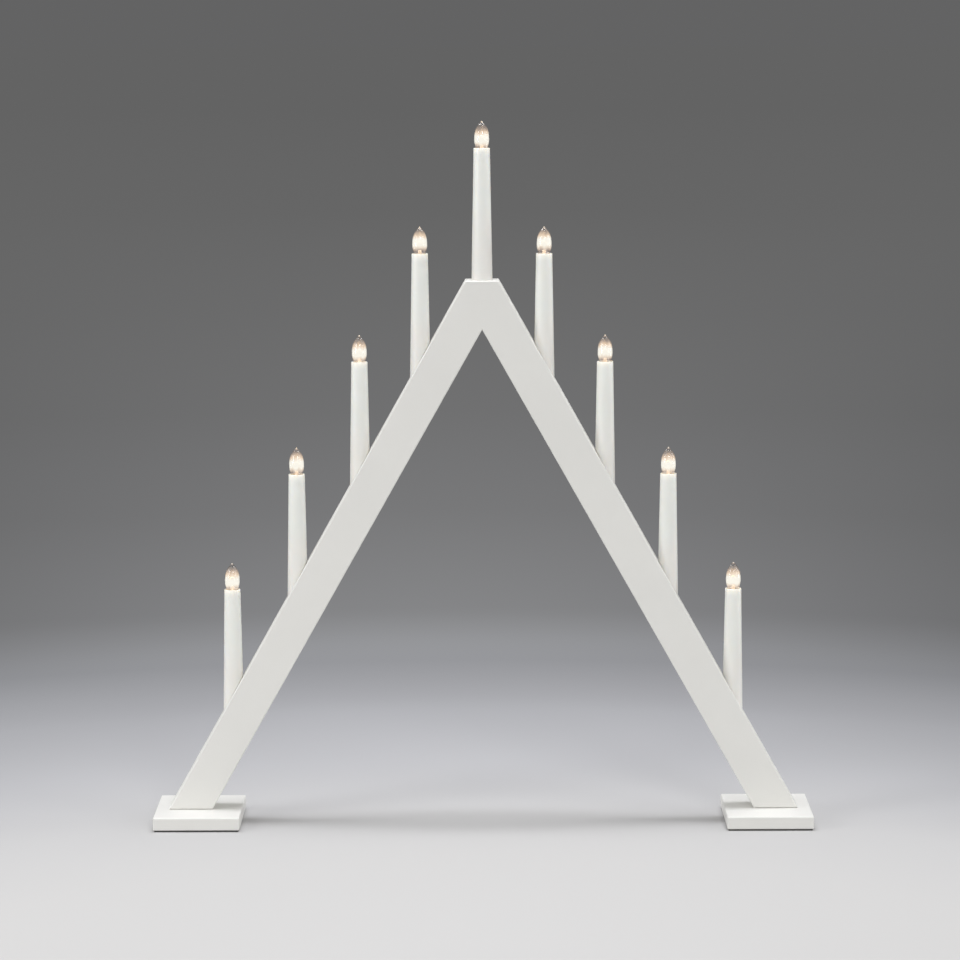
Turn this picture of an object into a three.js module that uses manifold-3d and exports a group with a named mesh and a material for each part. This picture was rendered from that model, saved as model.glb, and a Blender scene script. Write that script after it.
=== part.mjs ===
// An electric candlestick: two flat beams lean together into an arch on two foot plates,
// and nine upright electric candles stand in bores along the arch and on its flat top.
// Units are millimetres. +X is right, +Y is back and +Z is up.
// The origin is on the ground, under the middle of the arch.

import * as THREE from 'three';
import { mergeVertices } from 'three/addons/utils/BufferGeometryUtils.js';
import Module from 'manifold-3d';

const wasm = await Module();
wasm.setup();

// Clearances
const FIT_GAP = 0.3; // all round a piece that slides into a hole
const SEAT_GAP = 0.3; // under a piece that stands on a ledge or a bore floor
const CUT_PAST = 1.2; // how far a cut runs past the face that it opens
const SAME_POINT = 1e-4; // corners nearer than this are one corner

// Arch
const BEAM_LEAN_DEGREES = 29.4; // each beam leans this far from upright
const BEAM_WIDTH = 38.2; // square to the slope, seen from the front
const BORE_SIDE_WALL = 3.1; // wood left in front of and behind a candle bore
const APEX_FLAT_WIDTH = 33;
const EDGE_ROUND = 1.2;
const HALF_SPAN = 317; // middle of the arch to the outer corner of each beam's end
const CANDLE_SHARES = [0.194, 0.385, 0.585, 0.792]; // of the half span, to each candle on a side
const SLOPE_GRIP = 16.7; // bore depth below the low side of its sloping mouth
const APEX_GRIP = 12; // bore depth below the flat top

// Feet
const FOOT_WIDTH = 86.5;
const FOOT_DEPTH = 100;
const FOOT_THICKNESS = 13;
const FOOT_TOE = 13; // foot plate beyond the beam's outer corner
const FOOT_CORNER_ROUND = 1.5;
const PAD_THICKNESS = 1.5;
const PAD_INSET = 1;

// Screws that hold a beam down on its foot
const SCREW_DIAMETER = 4;
const SCREW_HEAD_DIAMETER = 8;
const SCREW_HEAD_HEIGHT = 2.6;
const SCREW_LENGTH = 34;
const SCREW_POINT = 3;
const SCREW_END_MARGIN = 18; // outer screw to the beam's outer corner
const SCREW_SPACING = 16;

// Flat dowel across the mitre
const BISCUIT_LENGTH = 30;
const BISCUIT_WIDTH = 20;
const BISCUIT_THICKNESS = 4;
const BISCUIT_FRONT_WALL = 5; // wood in front of it

// Wiring
const LEAD_DIAMETER = 2.8; // the two wires up to one lampholder
const TRUNK_DIAMETER = 3.4; // the wires that run along a beam
const LEAD_BEND = 3.2;
const LEAD_HOLE_DIAMETER = 6;
const CROSS_HOLE_DIAMETER = 7;
const CHANNEL_WIDTH = 8;
const CHANNEL_DEPTH = 8;
const CHANNEL_INNER_WALL = 3.5; // wood between the cover's seat and the beam's inner edge
const CHANNEL_END_HEIGHT = 24; // lower end of the channel above the foot
const COVER_THICKNESS = 2;
const COVER_LEDGE = 3; // width that the cover rests on at each side
const GLAND_DIAMETER = 8;
const GLAND_FLANGE_DIAMETER = 11;
const GLAND_FLANGE_THICKNESS = 1.2;
const GLAND_SLOT_WIDTH = 5.4;
const GLAND_SLOT_HEIGHT = 3.4;
const GLAND_HEIGHT = 12; // above the lower end of the channel

// Screw cap of a bulb, and the bulb's places below the rim of its sleeve
const CAP_DIAMETER = 9.5;
const CAP_WALL = 0.35;
const CAP_SHELL_LENGTH = 9;
const CAP_TOP_DEPTH = 4.5; // top of the cap below the rim
const INSULATOR_HEIGHT = 2.5;
const CONTACT_HEIGHT = 2;
const CONTACT_DIAMETER = 3.6;

// Glass of a bulb
const GLASS_WALL = 0.7;
const GLASS_NECK_LENGTH = 2.5; // neck inside the cap
const GLASS_BELLY_DIAMETER = 14.8;
const GLASS_TIP_HEIGHT = 26.6; // tip above the rim
const GLASS_TIP_LENGTH = 3; // solid drawn tip

// Flame shape of the glass from the tip down to the rim: each ring's share of the belly's
// diameter, and of the height from the rim to the tip
const GLASS_FORM = [
  [0.12, 0.985],
  [0.6, 0.84],
  [0.83, 0.68],
  [0.97, 0.5],
  [1, 0.33],
  [0.93, 0.16],
  [0.82, 0],
];

// Filament and the glass stem that carries it
const STEM_DIAMETER = 3.6;
const STEM_TOP_HEIGHT = 3.5; // above the rim
const STEM_FLARE_HEIGHT = 3;
const WIRE_DIAMETER = 0.6;
const WIRE_SPREAD = 5; // between the two lead wires at the filament
const FILAMENT_HEIGHT = 9; // ends of the filament above the rim
const FILAMENT_RISE = 3.5;

// Lampholder
const HOLDER_WALL = 1.45;
const HOLDER_TOP_DEPTH = 3; // its top below the rim
const HOLDER_FLOOR = 2;
const HOLDER_TAIL_DIAMETER = 9;
const HOLDER_TAIL_LENGTH = 6;

// Candle sleeve
const SLEEVE_LENGTH = 142;
const SLEEVE_WALL = 1.25;
const SLEEVE_BOTTOM_DIAMETER = 21.2;
const SLEEVE_RIM_ROUND = 0.5;
const SLEEVE_LEDGE_THICKNESS = 2;

// Facets
const SLEEVE_SIDES = 20;
const GLASS_SIDES = 12;
const HOLDER_SIDES = 12;
const CAP_SIDES = 12;
const STEM_SIDES = 6;
const HOLE_SIDES = 8;
const WIRE_SIDES = 6;
const FINE_WIRE_SIDES = 4;
const CURVE_STEPS = 4; // half the facets along each curve of a board's outline
const CORNER_STEPS = 1; // half the facets round each corner of a foot plate
const GLAND_SIDES = 16;
const ROUND_STEPS = 2; // facets across a rounded edge
const BEND_STEPS = 2;
const FILAMENT_STEPS = 10;

// Lines of the arch
const lean = THREE.MathUtils.degToRad(BEAM_LEAN_DEGREES);
const slopeRun = Math.tan(lean); // sideways travel of a beam for each unit of fall
const boreDiameter = SLEEVE_BOTTOM_DIAMETER + 2 * FIT_GAP;
const beamDepth = boreDiameter + 2 * BORE_SIDE_WALL;
const beamFront = -beamDepth / 2;
const beamBack = beamDepth / 2;
const footTop = PAD_THICKNESS + FOOT_THICKNESS;
const outerPeak = footTop + HALF_SPAN / slopeRun; // where the two outer edges would meet
const apexTop = outerPeak - APEX_FLAT_WIDTH / 2 / slopeRun;

// Wiring channel, cut into the back of the beams
const coverWidth = CHANNEL_WIDTH + 2 * COVER_LEDGE;
const coverInset = BEAM_WIDTH - CHANNEL_INNER_WALL - FIT_GAP - coverWidth / 2;
const channelInner = coverInset + CHANNEL_WIDTH / 2;
const channelFloor = beamBack - CHANNEL_DEPTH;
const channelEnd = footTop + CHANNEL_END_HEIGHT;
const coverFront = beamBack - COVER_THICKNESS;
const trunkInset = channelInner - FIT_GAP - TRUNK_DIAMETER / 2;
const trunkBack = coverFront - SEAT_GAP - TRUNK_DIAMETER / 2;

// Candle parts: diameters from the bulb outwards, heights measured from the sleeve's rim
const socketDiameter = CAP_DIAMETER + 2 * FIT_GAP;
const holderDiameter = socketDiameter + 2 * HOLDER_WALL;
const sleeveBore = holderDiameter + 2 * FIT_GAP;
const sleeveTopDiameter = sleeveBore + 2 * SLEEVE_WALL;
const capShellBottom = -(CAP_TOP_DEPTH + CAP_SHELL_LENGTH);
const capBottom = capShellBottom - INSULATOR_HEIGHT - CONTACT_HEIGHT;
const socketFloor = capBottom - SEAT_GAP;
const shoulderHeight = socketFloor - HOLDER_FLOOR;
const tailBottom = shoulderHeight - HOLDER_TAIL_LENGTH;
const ledgeTop = shoulderHeight - SEAT_GAP;
const ledgeBottom = ledgeTop - SLEEVE_LEDGE_THICKNESS;
const neckDiameter = CAP_DIAMETER - 2 * CAP_WALL - 2 * FIT_GAP;
const neckBottom = -CAP_TOP_DEPTH - GLASS_NECK_LENGTH;

// Height of a line that runs down both beams, square inset from their outer edges.
function lineHeight(x, inset) {
  return outerPeak - inset / Math.sin(lean) - Math.abs(x) / slopeRun;
}

// Where that line is at a height, on the right-hand side.
function lineReach(height, inset) {
  return (lineHeight(0, inset) - height) * slopeRun;
}

// A closed mesh with shared corners and without the empty triangles at a lathe's axis.
function sealed(geometry) {
  const open = geometry.clone();
  open.deleteAttribute('normal');
  open.deleteAttribute('uv');
  const merged = mergeVertices(open, SAME_POINT);
  const corners = merged.index.array;
  const kept = [];
  for (let i = 0; i < corners.length; i += 3) {
    const [a, b, c] = corners.slice(i, i + 3);
    if (a !== b && b !== c && c !== a) kept.push(a, b, c);
  }
  merged.setIndex(kept);
  return merged;
}

function toSolid(geometry) {
  const closed = sealed(geometry);
  const vertProperties = new Float32Array(closed.attributes.position.array);
  const triVerts = new Uint32Array(closed.index.array);
  return new wasm.Manifold(new wasm.Mesh({ numProp: 3, vertProperties, triVerts }));
}

function toGeometry(solid) {
  const mesh = solid.getMesh();
  const geometry = new THREE.BufferGeometry();
  geometry.setAttribute('position', new THREE.BufferAttribute(mesh.vertProperties, 3));
  geometry.setIndex(new THREE.BufferAttribute(mesh.triVerts, 1));
  return geometry;
}

function joined(first, ...others) {
  return toGeometry(others.reduce((whole, next) => whole.add(toSolid(next)), toSolid(first)));
}

function drilled(blank, cutters) {
  return toGeometry(cutters.reduce((rest, cutter) => rest.subtract(toSolid(cutter)), toSolid(blank)));
}

// A flat board: an outline in the front view, given depth from front to back.
function board(shape, front, back, round = 0) {
  const geometry = new THREE.ExtrudeGeometry(shape, {
    depth: back - front - 2 * round,
    bevelEnabled: round > 0,
    bevelThickness: round,
    bevelSize: round,
    bevelOffset: -round,
    bevelSegments: ROUND_STEPS,
    curveSegments: CURVE_STEPS,
  });
  geometry.translate(0, 0, round);
  geometry.rotateX(Math.PI / 2);
  geometry.translate(0, back, 0);
  return geometry;
}

// A flat plate: an outline in the top view, given height.
function plate(shape, bottom, top, round = 0) {
  const geometry = new THREE.ExtrudeGeometry(shape, {
    depth: top - bottom - 2 * round,
    bevelEnabled: round > 0,
    bevelThickness: round,
    bevelSize: round,
    bevelOffset: -round,
    bevelSegments: ROUND_STEPS,
    curveSegments: CORNER_STEPS,
  });
  geometry.translate(0, 0, bottom + round);
  return geometry;
}

// A turned piece: its profile is pairs of radius and height, from the top down its outside.
function turned(profile, sides) {
  const points = profile.map(([radius, height]) => new THREE.Vector2(radius, height));
  const geometry = new THREE.LatheGeometry(points.reverse(), sides);
  geometry.rotateX(Math.PI / 2);
  return sealed(geometry);
}

function uprightRod(diameter, x, y, bottom, top, sides) {
  const geometry = new THREE.CylinderGeometry(diameter / 2, diameter / 2, top - bottom, sides);
  geometry.rotateX(Math.PI / 2);
  geometry.translate(x, y, (bottom + top) / 2);
  return geometry;
}

function crossRod(diameter, x, height, front, back, sides) {
  const geometry = new THREE.CylinderGeometry(diameter / 2, diameter / 2, back - front, sides);
  geometry.translate(x, (front + back) / 2, height);
  return geometry;
}

function roundSection(diameter, sides) {
  const corners = [];
  for (let i = 0; i < sides; i += 1) {
    const turn = (2 * Math.PI * (i + 0.5)) / sides;
    corners.push(new THREE.Vector2(Math.cos(turn), Math.sin(turn)).multiplyScalar(diameter / 2));
  }
  return new THREE.Shape(corners);
}

function tube(path, diameter, steps, sides) {
  return new THREE.ExtrudeGeometry(roundSection(diameter, sides), { extrudePath: path, steps });
}

function straightTube(from, to, diameter, sides) {
  return tube(new THREE.LineCurve3(from, to), diameter, 1, sides);
}

function outline(points) {
  return new THREE.Shape(points.map(([x, z]) => new THREE.Vector2(x, z)));
}

// The band between two lines that follow both beams, cut level at its lower ends.
function chevron(outerInset, innerInset, bottom) {
  return outline([
    [-lineReach(bottom, outerInset), bottom],
    [0, lineHeight(0, outerInset)],
    [lineReach(bottom, outerInset), bottom],
    [lineReach(bottom, innerInset), bottom],
    [0, lineHeight(0, innerInset)],
    [-lineReach(bottom, innerInset), bottom],
  ]);
}

// The whole arch before it is parted: the band of both beams with its peak cut flat.
function archOutline() {
  return outline([
    [-HALF_SPAN, footTop],
    [-APEX_FLAT_WIDTH / 2, apexTop],
    [APEX_FLAT_WIDTH / 2, apexTop],
    [HALF_SPAN, footTop],
    [lineReach(footTop, BEAM_WIDTH), footTop],
    [0, lineHeight(0, BEAM_WIDTH)],
    [-lineReach(footTop, BEAM_WIDTH), footTop],
  ]);
}

// Each candle's place: the axis, the floor of its bore and the height of the sleeve's rim.
function candlePlaces() {
  const mouthFall = boreDiameter / 2 / slopeRun;
  const slopeFloor = (x) => lineHeight(x, 0) - mouthFall - SLOPE_GRIP;
  const reaches = CANDLE_SHARES.map((share) => share * HALF_SPAN);
  const offsets = [...reaches].reverse().map((x) => -x).concat([0], reaches);
  return offsets.map((x) => {
    const seat = x === 0 ? apexTop - APEX_GRIP : slopeFloor(x);
    return { x, boreFloor: seat - SEAT_GAP, rim: seat + SLEEVE_LENGTH };
  });
}

// The two screws of one foot; side is -1 on the left and 1 on the right.
function screwPlaces(side) {
  const outer = HALF_SPAN - SCREW_END_MARGIN;
  return [outer, outer - SCREW_SPACING].map((reach) => side * reach);
}

function screwProfile(gap, sink) {
  const shank = SCREW_DIAMETER / 2 + gap;
  const head = SCREW_HEAD_DIAMETER / 2 + gap;
  return [
    [0, SCREW_LENGTH + gap],
    [shank, SCREW_LENGTH - SCREW_POINT + gap],
    [shank, SCREW_HEAD_HEIGHT + gap],
    [head, gap],
    [head, -sink],
    [0, -sink],
  ];
}

function screwAt(x, gap, sink) {
  const screw = turned(screwProfile(gap, sink), HOLE_SIDES);
  screw.translate(x, 0, PAD_THICKNESS + SEAT_GAP);
  return screw;
}

// The bore of one candle, and the two holes that take its wires to the channel.
function candleCutters({ x, boreFloor, rim }) {
  const leadHeight = lineHeight(x, trunkInset);
  const holeReach = CROSS_HOLE_DIAMETER / 2;
  return [
    uprightRod(boreDiameter, x, 0, boreFloor, rim, SLEEVE_SIDES),
    uprightRod(LEAD_HOLE_DIAMETER, x, 0, leadHeight, boreFloor + CUT_PAST, HOLE_SIDES),
    crossRod(CROSS_HOLE_DIAMETER, x, leadHeight, -holeReach, channelFloor + CUT_PAST, HOLE_SIDES),
  ];
}

function biscuitShape(gap) {
  const middle = (lineHeight(0, BEAM_WIDTH) + apexTop - APEX_GRIP) / 2;
  const shape = new THREE.Shape();
  shape.absellipse(0, middle, BISCUIT_WIDTH / 2 + gap, BISCUIT_LENGTH / 2 + gap, 0, 2 * Math.PI);
  return shape;
}

function biscuit(gap) {
  const front = beamFront + BISCUIT_FRONT_WALL;
  return board(biscuitShape(gap), front - gap, front + BISCUIT_THICKNESS + gap);
}

function archBlank(places) {
  const past = beamBack + CUT_PAST;
  const channelShape = chevron(channelInner - CHANNEL_WIDTH, channelInner, channelEnd);
  const seatHalf = coverWidth / 2 + FIT_GAP;
  const seatShape = chevron(coverInset - seatHalf, coverInset + seatHalf, channelEnd - COVER_LEDGE);
  return drilled(board(archOutline(), beamFront, beamBack, EDGE_ROUND), [
    board(channelShape, channelFloor, past),
    board(seatShape, coverFront - SEAT_GAP, past),
    biscuit(FIT_GAP),
    ...places.flatMap(candleCutters),
    ...[-1, 1].flatMap(screwPlaces).map((x) => screwAt(x, FIT_GAP, 0)),
  ]);
}

// One half of a piece that spans the mitre; side is -1 for the left and 1 for the right.
function halfOf(geometry, side, gap) {
  const size = 2 * outerPeak;
  const half = new THREE.BoxGeometry(size, size, size);
  half.translate(side * (size / 2 + gap), 0, size / 2);
  return toGeometry(toSolid(geometry).intersect(toSolid(half)));
}

function coverStrip() {
  const shape = chevron(
    coverInset - coverWidth / 2,
    coverInset + coverWidth / 2,
    channelEnd - COVER_LEDGE + FIT_GAP,
  );
  return board(shape, coverFront, beamBack);
}

// Where the mains cord would go in, low on the back of the right-hand beam.
function glandPlace() {
  const height = channelEnd + GLAND_HEIGHT;
  return { x: lineReach(height, coverInset), height };
}

function glandHole() {
  const { x, height } = glandPlace();
  const diameter = GLAND_DIAMETER + 2 * FIT_GAP;
  return crossRod(diameter, x, height, coverFront - CUT_PAST, beamBack + CUT_PAST, GLAND_SIDES);
}

function slotShape(x, height) {
  const radius = GLAND_SLOT_HEIGHT / 2;
  const half = GLAND_SLOT_WIDTH / 2 - radius;
  const shape = new THREE.Shape();
  shape.absarc(x + half, height, radius, -Math.PI / 2, Math.PI / 2, false);
  shape.absarc(x - half, height, radius, Math.PI / 2, (3 * Math.PI) / 2, false);
  return shape;
}

function cordGland() {
  const { x, height } = glandPlace();
  const flangeBack = beamBack + GLAND_FLANGE_THICKNESS;
  const body = joined(
    crossRod(GLAND_DIAMETER, x, height, coverFront, flangeBack, GLAND_SIDES),
    crossRod(GLAND_FLANGE_DIAMETER, x, height, beamBack, flangeBack, GLAND_SIDES),
  );
  return drilled(body, [board(slotShape(x, height), coverFront - CUT_PAST, flangeBack + CUT_PAST)]);
}

// The wires from the trunk in the channel, forward through the wood and up to a lampholder.
function leadPieces({ x, rim }) {
  const height = lineHeight(x, trunkInset);
  const bend = new THREE.QuadraticBezierCurve3(
    new THREE.Vector3(x, LEAD_BEND, height),
    new THREE.Vector3(x, 0, height),
    new THREE.Vector3(x, 0, height + LEAD_BEND),
  );
  const overlap = LEAD_DIAMETER / 4;
  const top = rim + tailBottom - SEAT_GAP;
  return [
    crossRod(LEAD_DIAMETER, x, height, LEAD_BEND - overlap, trunkBack, WIRE_SIDES),
    tube(bend, LEAD_DIAMETER, BEND_STEPS, WIRE_SIDES),
    uprightRod(LEAD_DIAMETER, x, 0, height + LEAD_BEND - overlap, top, WIRE_SIDES),
  ];
}

// One loom: its trunk runs from the far left candle over the apex to the cord's inlet.
function wiringLoom(places) {
  const at = (x) => new THREE.Vector3(x, trunkBack, lineHeight(x, trunkInset));
  const peak = at(0);
  const leftEnd = at(places[0].x - LEAD_DIAMETER);
  const rightEnd = at(glandPlace().x);
  return joined(
    straightTube(leftEnd, peak, TRUNK_DIAMETER, WIRE_SIDES),
    straightTube(peak, rightEnd, TRUNK_DIAMETER, WIRE_SIDES),
    new THREE.SphereGeometry(TRUNK_DIAMETER / 2, WIRE_SIDES, WIRE_SIDES).translate(...peak),
    ...places.flatMap(leadPieces),
  );
}

function roundedRectangle(left, right, front, back, radius) {
  const shape = new THREE.Shape();
  shape.absarc(right - radius, back - radius, radius, 0, Math.PI / 2, false);
  shape.absarc(left + radius, back - radius, radius, Math.PI / 2, Math.PI, false);
  shape.absarc(left + radius, front + radius, radius, Math.PI, 1.5 * Math.PI, false);
  shape.absarc(right - radius, front + radius, radius, 1.5 * Math.PI, 2 * Math.PI, false);
  return shape;
}

// The top view of a foot plate, or of its pad when it is drawn in by an inset.
function footShape(side, inset) {
  const outer = HALF_SPAN + FOOT_TOE - inset;
  const inner = HALF_SPAN + FOOT_TOE - FOOT_WIDTH + inset;
  const [left, right] = side < 0 ? [-outer, -inner] : [inner, outer];
  const back = FOOT_DEPTH / 2 - inset;
  return roundedRectangle(left, right, -back, back, FOOT_CORNER_ROUND);
}

function footPlate(side) {
  const blank = plate(footShape(side, 0), PAD_THICKNESS, footTop, EDGE_ROUND);
  const sink = SEAT_GAP + CUT_PAST;
  return drilled(blank, screwPlaces(side).map((x) => screwAt(x, FIT_GAP, sink)));
}

function sleeveRadius(height) {
  const fall = -height / SLEEVE_LENGTH;
  return THREE.MathUtils.lerp(sleeveTopDiameter, SLEEVE_BOTTOM_DIAMETER, fall) / 2;
}

function candleSleeve() {
  const bore = sleeveBore / 2;
  const ledge = HOLDER_TAIL_DIAMETER / 2 + FIT_GAP;
  const lowerBore = (height) => sleeveRadius(height) - SLEEVE_WALL;
  const rim = [bore, 0];
  return turned([
    rim,
    [sleeveRadius(0) - SLEEVE_RIM_ROUND, 0],
    [sleeveRadius(0), -SLEEVE_RIM_ROUND],
    [sleeveRadius(-SLEEVE_LENGTH), -SLEEVE_LENGTH],
    [lowerBore(-SLEEVE_LENGTH), -SLEEVE_LENGTH],
    [lowerBore(ledgeBottom), ledgeBottom],
    [ledge, ledgeBottom],
    [ledge, ledgeTop],
    [bore, ledgeTop],
    rim,
  ], SLEEVE_SIDES);
}

function lampholder() {
  const socket = socketDiameter / 2;
  const body = holderDiameter / 2;
  const tail = HOLDER_TAIL_DIAMETER / 2;
  return turned([
    [0, socketFloor],
    [socket, socketFloor],
    [socket, -HOLDER_TOP_DEPTH],
    [body, -HOLDER_TOP_DEPTH],
    [body, shoulderHeight],
    [tail, shoulderHeight],
    [tail, tailBottom],
    [0, tailBottom],
  ], HOLDER_SIDES);
}

// The bulb's screw cap, open at the top for the neck of the glass.
function bulbCap() {
  const outside = CAP_DIAMETER / 2;
  const inside = outside - CAP_WALL;
  const contact = CONTACT_DIAMETER / 2;
  const insulatorBottom = capShellBottom - INSULATOR_HEIGHT;
  return turned([
    [0, capShellBottom + CAP_WALL],
    [inside, capShellBottom + CAP_WALL],
    [inside, -CAP_TOP_DEPTH],
    [outside, -CAP_TOP_DEPTH],
    [outside, capShellBottom],
    [contact, insulatorBottom],
    [contact, capBottom],
    [0, capBottom],
  ], CAP_SIDES);
}

// Rings down one wall of the glass, from its first ring to the end of its neck.
function glassWall(inset, firstRing) {
  const rings = GLASS_FORM.slice(firstRing).map(([spread, rise]) => [
    (spread * GLASS_BELLY_DIAMETER) / 2 - inset,
    rise * GLASS_TIP_HEIGHT,
  ]);
  const neck = neckDiameter / 2 - inset;
  return [...rings, [neck, -CAP_TOP_DEPTH + FIT_GAP], [neck, neckBottom]];
}

// Closed at its solid tip and open at its neck.
function bulbGlass() {
  const tip = [0, GLASS_TIP_HEIGHT];
  const hollowTop = [0, GLASS_TIP_HEIGHT - GLASS_TIP_LENGTH];
  const inside = [hollowTop, ...glassWall(GLASS_WALL, 1)];
  return turned([tip, ...glassWall(0, 0), ...inside.reverse()], GLASS_SIDES);
}

// The stem closes the neck and carries two lead wires with the filament arched between them.
function bulbFilament() {
  const flare = neckDiameter / 2 - GLASS_WALL - FIT_GAP;
  const stem = STEM_DIAMETER / 2;
  const post = turned([
    [0, STEM_TOP_HEIGHT],
    [stem, STEM_TOP_HEIGHT],
    [stem, neckBottom + STEM_FLARE_HEIGHT],
    [flare, neckBottom],
    [0, neckBottom],
  ], STEM_SIDES);
  const foot = (STEM_DIAMETER - 2 * WIRE_DIAMETER) / 2;
  const spread = WIRE_SPREAD / 2;
  const rooted = STEM_TOP_HEIGHT - STEM_DIAMETER / 2;
  const path = new THREE.CatmullRomCurve3([
    new THREE.Vector3(-foot, 0, rooted),
    new THREE.Vector3(-foot, 0, STEM_TOP_HEIGHT),
    new THREE.Vector3(-spread, 0, FILAMENT_HEIGHT),
    new THREE.Vector3(0, 0, FILAMENT_HEIGHT + FILAMENT_RISE),
    new THREE.Vector3(spread, 0, FILAMENT_HEIGHT),
    new THREE.Vector3(foot, 0, STEM_TOP_HEIGHT),
    new THREE.Vector3(foot, 0, rooted),
  ]);
  return joined(post, tube(path, WIRE_DIAMETER, FILAMENT_STEPS, FINE_WIRE_SIDES));
}

const FINISHES = {
  lacquer: { color: 0xdcdcd4, roughness: 0.45, metalness: 0 },
  sleevePlastic: { color: 0xe7e8e0, roughness: 0.35, metalness: 0 },
  holderPlastic: { color: 0xe2ddcf, roughness: 0.55, metalness: 0 },
  glass: { color: 0xfff0d6, roughness: 0.05, metalness: 0 },
  filament: { color: 0xffd9a0, roughness: 0.4, metalness: 0.3 },
  capMetal: { color: 0xc8b27c, roughness: 0.3, metalness: 1 },
  steel: { color: 0xb4b6b8, roughness: 0.35, metalness: 1 },
  felt: { color: 0x3b3936, roughness: 1, metalness: 0 },
  beech: { color: 0xc9a679, roughness: 0.7, metalness: 0 },
  wireInsulation: { color: 0xd8d4c8, roughness: 0.6, metalness: 0 },
  rubber: { color: 0xcfcdc6, roughness: 0.8, metalness: 0 },
};

function piece(name, geometry, finish) {
  geometry.computeVertexNormals();
  const mesh = new THREE.Mesh(geometry, new THREE.MeshStandardMaterial(FINISHES[finish]));
  mesh.name = name;
  return mesh;
}

function archGroup(places) {
  const group = new THREE.Group();
  const arch = archBlank(places);
  const strip = coverStrip();
  const rightStrip = drilled(halfOf(strip, 1, FIT_GAP / 2), [glandHole()]);
  group.add(
    piece('left_beam', halfOf(arch, -1, 0), 'lacquer'),
    piece('right_beam', halfOf(arch, 1, 0), 'lacquer'),
    piece('mitre_biscuit', biscuit(0), 'beech'),
    piece('left_channel_cover', halfOf(strip, -1, FIT_GAP / 2), 'lacquer'),
    piece('right_channel_cover', rightStrip, 'lacquer'),
    piece('cord_gland', cordGland(), 'rubber'),
    piece('wiring_loom', wiringLoom(places), 'wireInsulation'),
  );
  return group;
}

function footGroup(name, side) {
  const group = new THREE.Group();
  group.add(
    piece(`${name}_foot`, footPlate(side), 'lacquer'),
    piece(`${name}_foot_pad`, plate(footShape(side, PAD_INSET), 0, PAD_THICKNESS), 'felt'),
  );
  screwPlaces(side).forEach((x, index) => {
    group.add(piece(`${name}_foot_screw_${index + 1}`, screwAt(x, 0, 0), 'steel'));
  });
  return group;
}

function candleGroup(number, { x, rim }) {
  const group = new THREE.Group();
  group.add(
    piece(`candle_${number}_sleeve`, candleSleeve(), 'sleevePlastic'),
    piece(`candle_${number}_lampholder`, lampholder(), 'holderPlastic'),
    piece(`bulb_${number}_cap`, bulbCap(), 'capMetal'),
    piece(`bulb_${number}_glass`, bulbGlass(), 'glass'),
    piece(`bulb_${number}_filament`, bulbFilament(), 'filament'),
  );
  group.position.set(x, 0, rim);
  return group;
}

function candlestick() {
  const places = candlePlaces();
  const group = new THREE.Group();
  group.add(archGroup(places), footGroup('left', -1), footGroup('right', 1));
  places.forEach((place, index) => group.add(candleGroup(index + 1, place)));
  return group;
}

const group = candlestick();

export default group;
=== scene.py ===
"""Dresses the electric candlestick and sets it in a plain studio.

The arch, the feet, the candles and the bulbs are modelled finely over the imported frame, and
everything else of the frame keeps its shape and gets its own finish. Lengths are in metres.
+X is right, +Y is back, +Z is up, and the origin is on the ground under the arch.
"""

from __future__ import annotations

import logging
import math
from collections.abc import Callable
from dataclasses import dataclass, field
from enum import Enum

import bmesh
import bpy
import numpy as np
from mathutils import Matrix, Vector


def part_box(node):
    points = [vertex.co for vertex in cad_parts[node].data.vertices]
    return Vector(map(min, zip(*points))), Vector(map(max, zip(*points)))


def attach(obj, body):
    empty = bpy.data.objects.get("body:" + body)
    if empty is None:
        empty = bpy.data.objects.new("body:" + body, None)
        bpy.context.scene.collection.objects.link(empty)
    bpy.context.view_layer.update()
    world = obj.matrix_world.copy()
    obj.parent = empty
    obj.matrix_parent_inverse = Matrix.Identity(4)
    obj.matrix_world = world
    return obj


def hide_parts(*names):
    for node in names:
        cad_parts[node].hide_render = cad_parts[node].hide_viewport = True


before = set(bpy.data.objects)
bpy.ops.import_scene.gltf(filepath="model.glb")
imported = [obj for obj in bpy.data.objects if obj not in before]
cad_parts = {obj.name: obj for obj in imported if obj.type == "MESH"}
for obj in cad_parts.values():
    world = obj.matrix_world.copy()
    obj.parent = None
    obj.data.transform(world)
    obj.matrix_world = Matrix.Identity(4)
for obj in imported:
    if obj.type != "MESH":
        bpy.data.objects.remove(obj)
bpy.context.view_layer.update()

log = logging.getLogger("candlestick")

Triple = tuple[float, float, float]
Colour = Triple
Point = tuple[float, float]
Span = tuple[float, float]
Corner = bmesh.types.BMVert
Edge = bmesh.types.BMEdge
Form = bmesh.types.BMesh
Mesh = bpy.types.Mesh
Piece = bpy.types.Object
Socket = bpy.types.NodeSocket

MM = 0.001
STAND = "stand"
CANDLES = range(1, 10)
SAME_POINT = 0.001 * MM  # corners nearer than this are one corner
UP = Vector((0, 0, 1))
EVEN: Triple = (1.0, 1.0, 1.0)
WHOLE: Span = (0.0, 1.0)
USUAL: Span = (0.3, 0.7)  # the range that most of a noise lies in
BLACK: Colour = (0.0, 0.0, 0.0)
WHITE: Colour = (1.0, 1.0, 1.0)


class Side(Enum):
    """The two sides of the arch, with the sign of X on each."""

    LEFT = -1
    RIGHT = 1

    @property
    def word(self) -> str:
        """The side's name as the frame's nodes spell it."""
        return self.name.lower()


class Cut(Enum):
    """What a cut does with the inside of its tool."""

    AWAY = "DIFFERENCE"
    KEPT = "INTERSECT"


class Slot(Enum):
    """The record's material slots."""

    WOOD = "lacquered_wood"
    FELT = "felt"
    SLEEVE = "sleeve_plastic"
    HOLDER = "holder_plastic"
    GLASS = "bulb_glass"
    CAP = "cap_brass"
    FILAMENT = "filament"
    GLAND = "gland_rubber"


# Node graphs


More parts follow.
